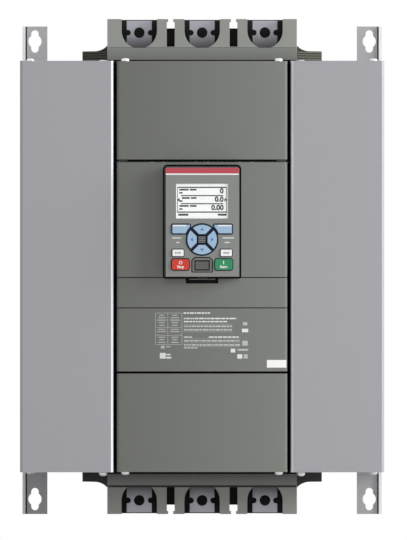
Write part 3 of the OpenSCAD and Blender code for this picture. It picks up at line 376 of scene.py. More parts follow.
STRIP = dict(colour="strip", rough=0.56, mottle=0.02, grain=0.16, gloss=0.3, painted_edge_shading=1.3, bright=1.6)
WING = dict(rough=0.6, mottle=0.04, grain=0.16, gloss=0.2)
CAP = dict(rough=0.38, grain=0.05, gloss=0.45, coat=0.25)
INK = dict(rough=0.55, mottle=0.08, patch=700, gloss=0.2)
SURFACES = {
    # Side cover steel: bright 2.1 on the marked bends paints a white highlight along them.
    "sheet_steel": dict(
        colour="sheet", rough=0.46, spread=0.08, mottle=0.025, patch=120, grain=0.05, grit=1500,
        stretch=(1, 1, 0.06), metal=0.35, gloss=0.4, painted_edge_shading=1.5, bright=2.1),
    "galvanised_steel": dict(
        colour="chassis", rough=0.44, spread=0.14, mottle=0.05, patch=160, grain=0.06, grit=900,
        metal=0.45, gloss=0.4, painted_edge_shading=0.6, bright=1.5),
    # Pale steel on the front edges of the chassis flanges and lips: a painted highlight of the light they
    # catch.
    "cut_edge": dict(
        colour="zinc", rough=0.4, mottle=0.05, patch=400, grain=0.1, grit=1200,
        stretch=(1, 1, 0.1), metal=0.3, gloss=0.5, painted_edge_shading=0.5),
    "front_moulding": dict(colour="front", rough=0.56, mottle=0.02, grain=0.16, gloss=0.3),
    "block_moulding": dict(
        colour="block", rough=0.54, mottle=0.025, grain=0.14, gloss=0.3, painted_edge_shading=0.9, bright=1.45),
    # Painted shade: the strips darken towards the covers, the lower one more strongly.
    "strip_moulding": dict(STRIP, tip=(204.5, 217.5, 0.86, 1.12)),
    "low_strip_moulding": dict(STRIP, tip=(202.5, 217.5, 0.42, 1.08)),
    "wing_moulding": dict(WING, colour="wing"),
    "rib_moulding": dict(WING, colour="rib"),
    "foam": dict(colour="foam", rough=0.9, mottle=0.2, patch=300, grain=0.5, grit=1500, gloss=0.1),
    "black_moulding": dict(colour="black", rough=0.55, mottle=0.1, grain=0.14, gloss=0.3),
    # Painted shade and light: the bars darken deep in the bays and brighten towards their ends.
    "tinned_bar": dict(
        colour="tin", rough=0.4, spread=0.16, mottle=0.07, patch=200, grain=0.08, grit=1800,
        stretch=(1, 1, 0.12), metal=0.4, gloss=0.5, painted_edge_shading=0.7, bright=1.5, tip=(217, 239, 0.38, 1.5)),
    "zinc_plate": dict(
        colour="zinc", rough=0.3, spread=0.14, mottle=0.06, patch=300, grain=0.05, grit=2400,
        metal=0.9, gloss=0.5, painted_edge_shading=0.5),
    "drawn_aluminium": dict(
        colour="aluminium", rough=0.38, spread=0.16, mottle=0.06, patch=220, grain=0.1, grit=1600,
        stretch=(1, 1, 0.03), metal=0.9),
    "copper": dict(
        colour="copper", rough=0.36, spread=0.2, mottle=0.1, patch=180, grain=0.06, metal=0.95),
    "carrier_moulding": dict(colour="carrier", mottle=0.06),
    "clamp_moulding": dict(colour="clamp", rough=0.46, mottle=0.06),
    "keypad_moulding": dict(colour="bezel", rough=0.48, mottle=0.02, grain=0.1, grit=3600, painted_edge_shading=0.5),
    "shell_moulding": dict(colour="shell", rough=0.55, mottle=0.05, gloss=0.25),
    "red_trim": dict(colour="trim", rough=0.34, mottle=0.03, grain=0.04, gloss=0.4, coat=0.2),
    "flap_rubber": dict(colour="flap", rough=0.66, mottle=0.05, grain=0.2, gloss=0.25),
    "grip_rubber": dict(colour="grip", rough=0.7, mottle=0.06, grain=0.25, grit=1800, gloss=0.2),
    "key_mat": dict(colour="gasket", rough=0.6, mottle=0.08, grain=0.1, gloss=0.25),
    # Blue and red keys: bright below 1 paints shade on their rounded edges; the green key gets a painted
    # highlight there.
    "blue_key": dict(CAP, colour="blue", mottle=0.03, painted_edge_shading=1.6, bright=0.5),
    "key_symbol": dict(colour="symbol", rough=0.4, mottle=0.05, gloss=0.4),
    "white_key": dict(colour="white", rough=0.42, mottle=0.02, grain=0.05, coat=0.15),
    "red_key": dict(CAP, colour="red", painted_edge_shading=1.4, bright=0.6),
    "green_key": dict(CAP, colour="green", painted_edge_shading=0.6, bright=1.5),
    "screen_ink": dict(colour="ink", mottle=0.08, patch=400, gloss=0.2),
    "print_ink": dict(INK, colour="print_ink"),
    "rule_ink": dict(INK, colour="rule_ink"),
    "paper": dict(colour="paper", rough=0.7, mottle=0.015, grain=0.2, grit=4000, gloss=0.2),
    "light_pipe": dict(colour="pipe", rough=0.2, mottle=0.03, grain=0.02, gloss=0.6, coat=0.5),
}
PATTERNED = {
    "winding": wound, "core_steel": laminated, "circuit_board": etched, "screen": lit_screen,
    "pane": clear_pane}


def finish(name):
    """The named material, made when it is first asked for."""
    full = "Finish " + name
    made = bpy.data.materials.get(full)
    if made:
        return made
    return PATTERNED[name](full) if name in PATTERNED else surface(full, **SURFACES[name])


def coat_nodes(name, *nodes):
    """Gives CAD nodes that keep their shape a finish."""
    for node in nodes:
        for slot in frame["nodes"][node].material_slots:
            slot.material = finish(name)


# Meshes

def span(node):
    """A CAD node's lowest and highest corner in millimetres."""
    low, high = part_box(node)
    return Vector(low) / MM, Vector(high) / MM


def face_of(node):
    """The middle of a CAD node, at its front."""
    low, high = span(node)
    return (low.x + high.x) / 2, low.y, (low.z + high.z) / 2


def mesh_of(name, bm, recalc=True):
    """Uses up a bmesh, with its faces turned outward unless they already are."""
    if recalc:
        bmesh.ops.recalc_face_normals(bm, faces=bm.faces[:])
    mesh = bpy.data.meshes.new(name)
    bm.to_mesh(mesh)
    bm.free()
    return mesh


def place(name, mesh, *finishes):
    """Links a mesh as an object with the named finishes."""
    mesh.materials.clear()
    for each in finishes:
        mesh.materials.append(finish(each))
    piece = bpy.data.objects.new(name, mesh)
    bpy.context.scene.collection.objects.link(piece)
    return piece


def settle(piece, body, slot, *nodes):
    """Parents a finished piece to the empty of its body and hides the CAD nodes that it stands for. The
    slot is not used.
    """
    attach(piece, body)
    if nodes:
        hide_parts(*nodes)


def merged_copy(node):
    """A CAD node's loose triangles, merged and with its flat faces joined."""
    bm = bmesh.new()
    bm.from_mesh(frame["nodes"][node].data)
    bmesh.ops.remove_doubles(bm, verts=bm.verts[:], dist=MERGE * MM)
    bmesh.ops.dissolve_limit(
        bm, angle_limit=FLAT, use_dissolve_boundaries=False, verts=bm.verts[:], edges=bm.edges[:])
    return bm


def plain_mesh(piece):
    """Turns a piece and its modifiers into a plain mesh."""
    graph = bpy.context.evaluated_depsgraph_get()
    made = bpy.data.meshes.new_from_object(piece.evaluated_get(graph))
    piece.modifiers.clear()
    old, piece.data = piece.data, made
    made.name = piece.name
    bpy.data.meshes.remove(old)
    return made


def dressed(node, slot, radius, finishes, pick=None, segments=2, bend=None, cutter=None):
    """Stands for a CAD node, with rounded edges and an edge attribute that marks where its finish paints
    highlight and shade.

    The pick function gives a face's finish from its centre in millimetres, and the bend
    function tells which faces beside the rounded edges also get the painted edge light.
    """
    name = node + "_finished"
    mesh = mesh_of(name, merged_copy(node), recalc=False)
    mesh.shade_smooth()
    piece = place(name, mesh, *finishes, finishes[0])
    edge_index = len(finishes)
    if cutter:
        piece.modifiers.new("Cut", "BOOLEAN").object = cutter
    bevel = piece.modifiers.new("Edges", "BEVEL")
    bevel.width = radius
    bevel.segments = segments
    bevel.limit_method = "ANGLE"
    bevel.angle_limit = SHARP
    bevel.material = edge_index
    piece.modifiers.new("Shading", "WEIGHTED_NORMAL").keep_sharp = True
    made = plain_mesh(piece)
    edge = made.attributes.new("edge", "FLOAT", "FACE")
    edge.data.foreach_set("value", [
        float(face.material_index == edge_index or bool(bend and bend(face))) for face in made.polygons])
    made.materials.pop(index=edge_index)
    picked = [pick(face.center / MM) if pick else 0 for face in made.polygons]
    made.polygons.foreach_set("material_index", picked)
    settle(piece, NODE_BODY[node], slot, node)


def rounded(bm, radius):
    """Rounds all edges of a block."""
    bmesh.ops.bevel(bm, geom=bm.edges[:], offset=radius, segments=2, affect="EDGES", profile=0.5)


def box_mesh(radius=0.0):
    """A box of one unit each way, standing on the plane Y = 0 and facing -Y."""
    bm = bmesh.new()
    bmesh.ops.create_cube(bm, size=1.0, matrix=Matrix.Translation((0, -0.5, 0)))
    if radius:
        rounded(bm, radius)
    return mesh_of("Box", bm)


def walls(bm, rows):
    """Faces between closed rows of equal count, from each row to the next."""
    for low, high in zip(rows, rows[1:]):
        for i in range(len(low)):
            bm.faces.new((low[i - 1], low[i], high[i], high[i - 1]))


def ring_mesh(name, rings, unit=MM):
    """A closed mesh of rings of equal count, capped at its first and last ring."""
    bm = bmesh.new()
    rows = [[bm.verts.new(Vector(point) * unit) for point in ring] for ring in rings]
    walls(bm, rows)
    bm.faces.new(rows[0][::-1])
    bm.faces.new(rows[-1])
    return mesh_of(name, bm)


def ring_piece(name, rings, finish_name):
    """A closed piece of rings of equal count."""
    return place(name, ring_mesh(name, rings), finish_name)


class Spot(NamedTuple):
    """Where a copy stands in millimetres, its size and its turn."""

    place: tuple
    size: tuple = (1, 1, 1)
    turn: tuple = (0, 0, 0)


def copies_tree():
    """Geometry Nodes: copies of a shape on points, turned and sized by the points' attributes."""
    tree = bpy.data.node_groups.get("Copies on points")
    if tree:
        return tree
    tree = bpy.data.node_groups.new("Copies on points", "GeometryNodeTree")
    for name, kind in (("Points", "NodeSocketGeometry"), ("Shape", "NodeSocketObject"),
                       ("Scale", "NodeSocketFloat"), ("Finish", "NodeSocketMaterial")):
        tree.interface.new_socket(name, in_out="INPUT", socket_type=kind)
    tree.interface.new_socket("Copies", in_out="OUTPUT", socket_type="NodeSocketGeometry")

    def add(kind, **links):
        made = tree.nodes.new(kind)
        for name, source in links.items():
            tree.links.new(source, made.inputs[name])
        return made

    def attribute(name):
        made = add("GeometryNodeInputNamedAttribute")
        made.data_type = "FLOAT_VECTOR"
        made.inputs["Name"].default_value = name
        return made.outputs["Attribute"]

    given = add("NodeGroupInput").outputs
    shape = add("GeometryNodeObjectInfo", Object=given["Shape"])
    sized = add("ShaderNodeVectorMath")
    sized.operation = "SCALE"
    tree.links.new(attribute("size"), sized.inputs[0])
    tree.links.new(given["Scale"], sized.inputs["Scale"])
    turn = add("FunctionNodeEulerToRotation", Euler=attribute("turn"))
    copied = add("GeometryNodeInstanceOnPoints", Points=given["Points"], Instance=shape.outputs["Geometry"],
                 Rotation=turn.outputs["Rotation"], Scale=sized.outputs["Vector"])
    solid = add("GeometryNodeRealizeInstances", Geometry=copied.outputs["Instances"])
    painted = add("GeometryNodeSetMaterial", Geometry=solid.outputs["Geometry"], Material=given["Finish"])
    add("NodeGroupOutput", Copies=painted.outputs["Geometry"])
    return tree


def copies(name, shape, spots, finish_name):
    """One piece of copies of a mesh in millimetres, at their spots. It uses the mesh up."""
    mesh = bpy.data.meshes.new(name)
    mesh.from_pydata([Vector(spot.place) * MM for spot in spots], [], [])
    for key in ("size", "turn"):
        data = mesh.attributes.new(key, "FLOAT_VECTOR", "POINT").data
        data.foreach_set("vector", [value for spot in spots for value in getattr(spot, key)])
    piece = place(name, mesh)
    tree = copies_tree()
    modifier = piece.modifiers.new("Copies", "NODES")
    modifier.node_group = tree
    sockets = {item.name: item.identifier for item in tree.interface.items_tree}
    modifier[sockets["Shape"]] = bpy.data.objects.new(name + "_shape", shape)
    modifier[sockets["Scale"]] = MM
    modifier[sockets["Finish"]] = finish(finish_name)
    made = plain_mesh(piece)
    if len(made.polygons) != len(spots) * len(shape.polygons):
        raise RuntimeError(name + ": some copies are missing")
    for key in ("size", "turn"):
        if key in made.attributes:
            made.attributes.remove(made.attributes[key])
    bpy.data.meshes.remove(shape)
    return piece


def boxes(name, spots, finish_name, radius=0.0):
    """One piece of boxes, each on the middle of its back."""
    return copies(name, box_mesh(radius), spots, finish_name)


def joined(name, pieces):
    """Joins pieces of one body into one mesh."""
    bm = bmesh.new()
    names = []
    for piece in pieces:
        before = len(bm.faces)
        bm.from_mesh(piece.data)
        bm.faces.ensure_lookup_table()
        for face in bm.faces[before:]:
            own = piece.data.materials[face.material_index].name.removeprefix("Finish ")
            if own not in names:
                names.append(own)
            face.material_index = names.index(own)
    mesh = mesh_of(name, bm, recalc=False)
    for piece in pieces:
        bpy.data.meshes.remove(piece.data)
    return place(name, mesh, *names)


def lettered(name, text, height, where, finish_name, film, bold=0.0, side="CENTER"):
    """Plain figures or a plain word as a thin solid that faces -Y, set out from a point."""
    curve = bpy.data.curves.new(name, "FONT")
    curve.body = text
    curve.align_x = side
    curve.align_y = "CENTER"
    curve.offset = bold * MM
    curve.size = height / CAPITAL_SHARE * MM
    curve.extrude = film / 2 * MM
    curve.resolution_u = 4
    source = bpy.data.objects.new(name + "_curve", curve)
    bpy.context.scene.collection.objects.link(source)
    graph = bpy.context.evaluated_depsgraph_get()
    mesh = bpy.data.meshes.new_from_object(source.evaluated_get(graph))
    bpy.data.objects.remove(source)
    bpy.data.curves.remove(curve)
    x, y, z = where
    lift = Matrix.Translation(Vector((x, y - film / 2, z)) * MM)
    mesh.transform(lift @ Matrix.Rotation(math.pi / 2, 4, "X"))
    bm = bmesh.new()
    bm.from_mesh(mesh)
    bmesh.ops.remove_doubles(bm, verts=bm.verts[:], dist=MERGE * MM)
    bm.to_mesh(mesh)
    bm.free()
    return place(name, mesh, finish_name)


def front_loop(node):
    """Outline of a node's foremost flat face, anticlockwise in X and Z, and its Y."""
    bm = merged_copy(node)
    front = min(v.co.y for v in bm.verts)
    faces = [f for f in bm.faces if all(abs(v.co.y - front) < MERGE / 2 * MM for v in f.verts)]
    steps = {}
    for e in bm.edges:
        if sum(f in faces for f in e.link_faces) == 1:
            a, b = e.verts
            steps.setdefault(a, []).append(b)
            steps.setdefault(b, []).append(a)
    loops = []
    while steps:
        here, last, loop = next(iter(steps)), None, []
        while here in steps:
            loop.append(Vector((here.co.x, here.co.z)) / MM)
            ahead = [v for v in steps.pop(here) if v is not last][0]
            last, here = here, ahead
        area = sum(a.x * b.y - b.x * a.y for a, b in zip(loop, loop[1:] + loop[:1]))
        loops.append((abs(area), len(loops), loop if area > 0 else loop[::-1]))
    bm.free()
    return max(loops)[2], front / MM


def grown(loop, distance):
    """A loop of points moved out by a distance, with its corners kept."""
    made = []
    for i, point in enumerate(loop):
        before = (point - loop[i - 1]).normalized()
        after = (loop[(i + 1) % len(loop)] - point).normalized()
        out_a, out_b = Vector((before.y, -before.x)), Vector((after.y, -after.x))
        middle = (out_a + out_b).normalized()
        made.append(point + middle * distance / max(MITRE_LEAST, middle.dot(out_a)))
    return made


def bands(name, parts, finish_name):
    """One piece of flat closed bands: for each its inner loop, outer loop, back and front."""
    bm = bmesh.new()
    for inner, outer, back, front in parts:
        rows = [[bm.verts.new(Vector((p.x, y, p.y)) * MM) for p in loop]
                for loop, y in ((inner, back), (inner, front), (outer, front), (outer, back))]
        walls(bm, rows + rows[:1])
    return place(name, mesh_of(name, bm), finish_name)


# Front surface of the bulging covers

FRONT_LOW, FRONT_HIGH = span("upper_front_cover")
BULGE = 6.0
BULGE_R = (FRONT_HIGH.x ** 2 + BULGE ** 2) / (2 * BULGE)
FILM_STEPS = 12


def front_y(x):
    """Y of the front covers' surface at a given X."""
    return FRONT_LOW.y + BULGE_R - math.sqrt(BULGE_R ** 2 - x * x)


def on_front(x, z, w, h, film):
    """A spot for a film laid on the front covers."""
    return Spot((x, front_y(x), z), (w, film, h), (0, 0, math.asin(x / BULGE_R)))


def curved_film(name, x0, x1, z0, z1, film, finish_name, back=0.0):
    """A film that follows the bulge of the front covers, set back by a distance."""
    rings = []
    for i in range(FILM_STEPS + 1):
        x = x0 + (x1 - x0) * i / FILM_STEPS
        y = front_y(x) + back
        rings.append([(x, y, z0), (x, y - film, z0), (x, y - film, z1), (x, y, z1)])
    return ring_piece(name, rings, finish_name)


# Pieces

class STARTER_OT_sheet_metal(bpy.types.Operator):
    """Chassis and side covers, with their cut edges rounded"""

    bl_idname = "starter.sheet_metal"
    bl_label = "Chassis and Side Covers"

    INNER = 95.0
    TOP = 204.0
    SHEET = 3.0
    FLANGE = 30.0
    FLANGE_ENDS = (-200.3, 208.0)
    LIP = 7.0
    LIP_X = 177.4
    CUT = 0.6
    # Dark strips that paint the shadow in the corner between each tab and its lip
    SHADOW_X = 176.7
    SHADOW_WIDE = 1.3
    SHADOW_DEEP = 0.05
    SHADOW_GAP = 0.4
    STRAIGHT = 0.985

    def execute(self, context):
        edges = context.scene.starter.edges
        dressed("chassis", "sheet_steel", edges.sheet, ["galvanised_steel", "cut_edge"], self.cut)
        self.seams()
        for side in ("left", "right"):
            dressed(side + "_side_cover", "sheet_steel", edges.sheet, ["sheet_steel"], bend=self.highlit_bends)
        return {"FINISHED"}

    def cut(self, centre):
        """1 on the front edges of the side flanges and of the lips on the tabs, which get a paler finish as
        a painted highlight, 0 elsewhere.
        """
        edge = self.FLANGE if self.FLANGE_ENDS[0] < centre.z < self.FLANGE_ENDS[1] else self.LIP
        return int(abs(centre.x) > self.LIP_X and -centre.y > edge - self.CUT)

    def seams(self):
        """Painted shadow: a dark strip in the corner between each tab and its lip."""
        low, high = span("chassis")
        spots = []
        for z0, z1 in ((low.z, self.FLANGE_ENDS[0] - self.SHADOW_GAP), (self.FLANGE_ENDS[1], high.z)):
            size = (self.SHADOW_WIDE, self.SHADOW_DEEP, z1 - z0 - 2 * self.SHADOW_GAP)
            spots += [Spot((x, -self.SHEET, (z0 + z1) / 2), size) for x in (-self.SHADOW_X, self.SHADOW_X)]
        settle(boxes("tab_seams", spots, "foam"), "enclosure", "black_plastic")

    def highlit_bends(self, face):
        """True on the bends beside the front covers and along the top, which get a painted highlight."""
        bent = max(abs(part) for part in face.normal) < self.STRAIGHT
        return bent and (abs(face.center.x) < self.INNER * MM or face.center.z > self.TOP * MM)


class STARTER_OT_front_covers(bpy.types.Operator):
    """Three moulded front covers and the housing that carries them"""

    bl_idname = "starter.front_covers"
    bl_label = "Front Covers"

    COMB_LOW = 107.55
    COMB_HALF = 74.2
    # Half width, bottom and top
    BAY = (39.2, -8.7, 105.1)
    NOTCH = (16.3, -13.3, -6.5)
    BAY_DEEP = 0.5
    NOTCH_DEEP = 0.6
    GROOVES = (-7.2, -37.3)
    GROOVE_HALF = 0.7
    GROOVE_DEEP = (0.35, 2.0)
    # Dark strips that paint the shade in the gaps beside the front covers and along the terminal strips
    # next to the covers
    GAP_SHADOW_BACK = 236.0
    GAP_SHADOW_DEEP = 12.0
    GAP_SHADOW_CLEAR = 0.4
    GAP_SHADOW_ROUND = 0.02
    # Middle up and height
    STRIP_SHADOWS = ((208.8, 1.5), (-201.6, 2.4))
    STRIP_SHADOW_DEEP = 0.2
    LEDGE_END = 1.2
    LEDGE_DEEP = 1.6
    LEDGE_BACK = 0.5
    LINE_HALF = 85.8
    LINE_RISE = (-0.5, 0.05)
    LINE_DEEP = 0.05

    def execute(self, context):
        edges = context.scene.starter.edges
        for node in ("upper_front_cover", "lower_front_cover"):
            dressed(node, "grey_plastic", edges.moulding, ["front_moulding"])
        # The bay, notch, grooves and comb are painted dark as shade in the recesses.
        dressed("control_cover", "grey_plastic", edges.keypad,
                ["front_moulding", "black_moulding", "foam"], self.recess_shade)
        coat_nodes("front_moulding", "main_housing")
        self.gap_shadows()
        self.dark_ledges_and_shadow_line()
        return {"FINISHED"}

    def recess_shade(self, centre):
        """1 for the keypad bay, the finger notch and the grooves, 2 for the comb, 0 elsewhere; 1 and 2
        paint the shade in these recesses.
        """
        x, z = abs(centre.x), centre.z
        below = centre.y - front_y(centre.x)
        if z > self.COMB_LOW and x < self.COMB_HALF:
            return 2
        bay = x < self.BAY[0] and self.BAY[1] < z < self.BAY[2] and below > self.BAY_DEEP
        notch = x < self.NOTCH[0] and self.NOTCH[1] < z < self.NOTCH[2] and below > self.NOTCH_DEEP
        near = min(abs(z - groove) for groove in self.GROOVES)
        groove = near < self.GROOVE_HALF and self.GROOVE_DEEP[0] < below < self.GROOVE_DEEP[1]
        return int(bay or notch or groove)

    def gap_shadows(self):
        """Painted shade: dark strips deep in the gaps round the front covers, and dark lines where the
        terminal strips meet the covers.
        """
        gap, half = span("right_side_cover")[0].x, FRONT_HIGH.x
        low, high = span("lower_front_cover")[0].z, FRONT_HIGH.z
        x, size = (gap + half) / 2, (gap - half - self.GAP_SHADOW_CLEAR, self.GAP_SHADOW_DEEP, high - low)
        spots = [Spot((side * x, -self.GAP_SHADOW_BACK, (low + high) / 2), size) for side in (-1, 1)]
        strip_y = span("line_terminal_block")[0].y
        spots += [Spot((0, strip_y, z), (STRIP_WIDE, self.STRIP_SHADOW_DEEP, h)) for z, h in self.STRIP_SHADOWS]
        settle(boxes("gap_seals", spots, "foam", self.GAP_SHADOW_ROUND), "enclosure", "black_plastic")

    def dark_ledges_and_shadow_line(self):
        """Plain ends of the control cover's upper edge on both sides of the comb, and a line below it, both
        dark: painted shade in the gap at the comb's edge.
        """
        top = span("control_cover")[1].z
        ends = []
        for side in (-1, 1):
            x0, x1 = sorted((side * self.COMB_HALF, side * (FRONT_HIGH.x - self.LEDGE_END)))
            ends.append(curved_film("ledge", x0, x1, self.COMB_LOW, top, -self.LEDGE_DEEP,
                                    "shell_moulding", self.LEDGE_BACK))
        low, high = (self.COMB_LOW + rise for rise in self.LINE_RISE)
        ends.append(curved_film("line", -self.LINE_HALF, self.LINE_HALF, low, high, self.LINE_DEEP,
                                "shell_moulding"))
        settle(joined("control_cover_ledges", ends), "enclosure", "black_plastic")


class STARTER_OT_terminal_blocks(bpy.types.Operator):
    """Terminal blocks with dark bays, ribbed wings and a dark line along each strip, where the darkness is
    painted shade
    """

    bl_idname = "starter.terminal_blocks"
    bl_label = "Terminal Blocks"

    FACE = 175.0
    BLOCK_HALF = 94.6
    BAY_HALF = 17.8
    SLOT_HALF = 4.1
    BAY_FROM = 217.0
    BAY_DEPTHS = (111.0, 169.4)
    STRIP_FRONT = 175.6
    STRIP_END = 217.8
    STRIP_PAST = 0.3
    # Distance from the middle across, and depth
    WING_ROOT = (94.4, 172.0)
    WING_TIP = (119.4, 133.0)
    RIBS = (206.5, 208.8, 211.1, 213.4)
    RIB_SHORT = 1.0
    RIB_SIZE = (0.55, 0.9)
    ARCH_R = 17.55
    ARCH_STEPS = 32
    ARCH_Z = -228.9
    ARCH_FOOT = -240.0
    ARCH_DEPTHS = (112.5, 175.4)
    # Each block's way from the middle, its wing, rib and strip finishes, and the height and depth of the
    # painted shadow line along its strip
    BLOCKS = {
        "line": (1, "wing_moulding", "rib_moulding", "strip_moulding", (0.4, 0.3)),
        # The load block's wings, ribs and strip take darker copies of the line block's finishes, as painted
        # shade below the covers.
        "load": (-1, "black_moulding", "wing_moulding", "low_strip_moulding", (2.0, 2.6)),
    }

    def inside(self, centre):
        """0 for the face, 1 for the depths of bays and slots, 2 for the wings, 3 for the strip. The depths
        take black as painted shade.
        """
        x, depth, z = abs(centre.x), -centre.y, abs(centre.z - POLE_MIDDLE)
        if x > self.BLOCK_HALF:
            return 2
        if depth > self.STRIP_FRONT and z < self.STRIP_END + self.STRIP_PAST:
            return 3
        in_bay = min(x, abs(x - POLE_PITCH)) < self.BAY_HALF
        in_slot = abs(x - POLE_PITCH / 2) < self.SLOT_HALF
        deep = self.BAY_DEPTHS[0] < depth < self.BAY_DEPTHS[1]
        return int((in_bay or in_slot) and z > self.BAY_FROM and deep)

    def ribs(self, way):
        """Spots of the ribs along both wings of a block."""
        dx = self.WING_TIP[0] - self.WING_ROOT[0]
        dy = self.WING_ROOT[1] - self.WING_TIP[1]
        x, y = self.WING_ROOT[0] + dx / 2, dy / 2 - self.WING_ROOT[1]
        size = (math.hypot(dx, dy) - self.RIB_SHORT, *self.RIB_SIZE)
        slope = math.atan2(dy, dx)
        return [Spot((side * x, y, POLE_MIDDLE + way * away), size, (0, 0, side * slope))
                for away in self.RIBS for side in (-1, 1)]

    def arches(self):
        """Cutter that carries the arches of the load block's bays up behind its strip."""
        turns = [math.pi * i / self.ARCH_STEPS for i in range(self.ARCH_STEPS + 1)]
        outline = [(self.ARCH_R * math.cos(a), self.ARCH_Z + self.ARCH_R * math.sin(a)) for a in turns]
        outline += [(-self.ARCH_R, self.ARCH_FOOT), (self.ARCH_R, self.ARCH_FOOT)]
        rings = [[(x, -depth, z) for x, z in outline] for depth in self.ARCH_DEPTHS]
        spots = [Spot((pole * POLE_PITCH, 0, 0)) for pole in (-1, 0, 1)]
        return copies("arch_cutter", ring_mesh("arch", rings, unit=1), spots, "black_moulding")

    def execute(self, context):
        radius = context.scene.starter.edges.block
        cutter = self.arches()
        for side, (way, wing, rib, strip, (high, deep)) in self.BLOCKS.items():
            dressed(side + "_terminal_block", "block_plastic", radius,
                    ["block_moulding", "black_moulding", wing, strip], self.inside,
                    cutter=cutter if side == "load" else None)
            settle(boxes(side + "_wing_ribs", self.ribs(way), rib), "enclosure", "block_plastic")
            # Painted shadow: a dark line along the outer edge of each strip.
            z = POLE_MIDDLE + way * (self.STRIP_END + high / 2)
            shadow_spot = Spot((0, -self.FACE, z), (STRIP_WIDE, deep, high))
            settle(boxes(side + "_strip_seam", [shadow_spot], "shell_moulding"), "enclosure", "black_plastic")
        bpy.data.meshes.remove(cutter.data)
        return {"FINISHED"}


class STARTER_OT_terminal_bars(bpy.types.Operator):
    """Tinned copper bars behind the terminal bays"""

    bl_idname = "starter.terminal_bars"
    bl_label = "Terminal Bars"

    def execute(self, context):
        for stem in ("line_busbar_l", "load_busbar_t"):
            for phase in "123":
                dressed(stem + phase, "tinned_copper", context.scene.starter.edges.bar, ["tinned_bar"])
        return {"FINISHED"}


class STARTER_OT_screws(bpy.types.Operator):
    """Pan head screws that hold the covers, each with a lobed recess"""

    bl_idname = "starter.screws"
    bl_label = "Cover Screws"

    HEAD_R = 4.0
    HEAD_H = 3.0
    BLOCK_HALF = 94.4
    CORNER = 150.0
    LOW_HEAD = 0.45
    TALL_HEAD = 1.5
    SHANK_R = 1.95
    SHANK_L = 8.0
    LOBES = 6
    AROUND = 36

    def shape(self):
        """A screw that stands on the plane Z = 0, from its shank's tip to the bottom of its recess."""
        angles = [2 * math.pi * i / self.AROUND for i in range(self.AROUND)]

        def ring(radius, z, lobe=0.0):
            reach = [radius + lobe * math.cos(self.LOBES * a) for a in angles]
            return [(r * math.cos(a), r * math.sin(a), z) for r, a in zip(reach, angles)]

        r, h, shank = self.HEAD_R, self.HEAD_H, self.SHANK_R
        return ring_mesh("screw", [
            ring(shank - 0.5, -self.SHANK_L), ring(shank, 0.5 - self.SHANK_L), ring(shank, 0),
            ring(r - 0.1, 0), ring(r, 0.12), ring(r, 1.5), ring(0.96 * r, 2.05), ring(0.84 * r, 2.55),
            ring(0.66 * r, h - 0.18), ring(1.85, h, 0.32), ring(1.75, h - 0.15, 0.3),
            ring(1.7, h - 1.5, 0.3)], unit=1)

    def height(self, x, up):
        """Share of the usual head: low beside the upper wings, tall at the corners and underneath."""
        if x < self.BLOCK_HALF:
            return 1.0
        return self.LOW_HEAD if up and x < self.CORNER else self.TALL_HEAD

    def spots(self):
        """A spot at the seat of each loose solid of the CAD node."""
        bm = merged_copy("enclosure_screws")
        left, spots = set(bm.verts), []
        while left:
            reach = [left.pop()]
            island = []
            while reach:
                here = reach.pop()
                island.append(here.co / MM)
                for e in here.link_edges:
                    far = e.other_vert(here)
                    if far in left:
                        left.remove(far)
                        reach.append(far)
            xs, ys, zs = zip(*island)
            up = sum(zs) > 0
            x, y = (min(xs) + max(xs)) / 2, (min(ys) + max(ys)) / 2
            seat = max(zs) - self.HEAD_H if up else min(zs) + self.HEAD_H
            turn = (0 if up else math.pi, 0, 0.4 + 3 * x * MM)
            spots.append(Spot((x, y, seat), (1, 1, self.height(abs(x), up)), turn))
        bm.free()
        return sorted(spots)

    def execute(self, context):
        screws = copies("cover_screws", self.shape(), self.spots(), "zinc_plate")
        screws.data.shade_smooth()
        screws.data.set_sharp_from_angle(angle=SHARP)
        settle(screws, "enclosure", "zinc_plate", "enclosure_screws")
        return {"FINISHED"}


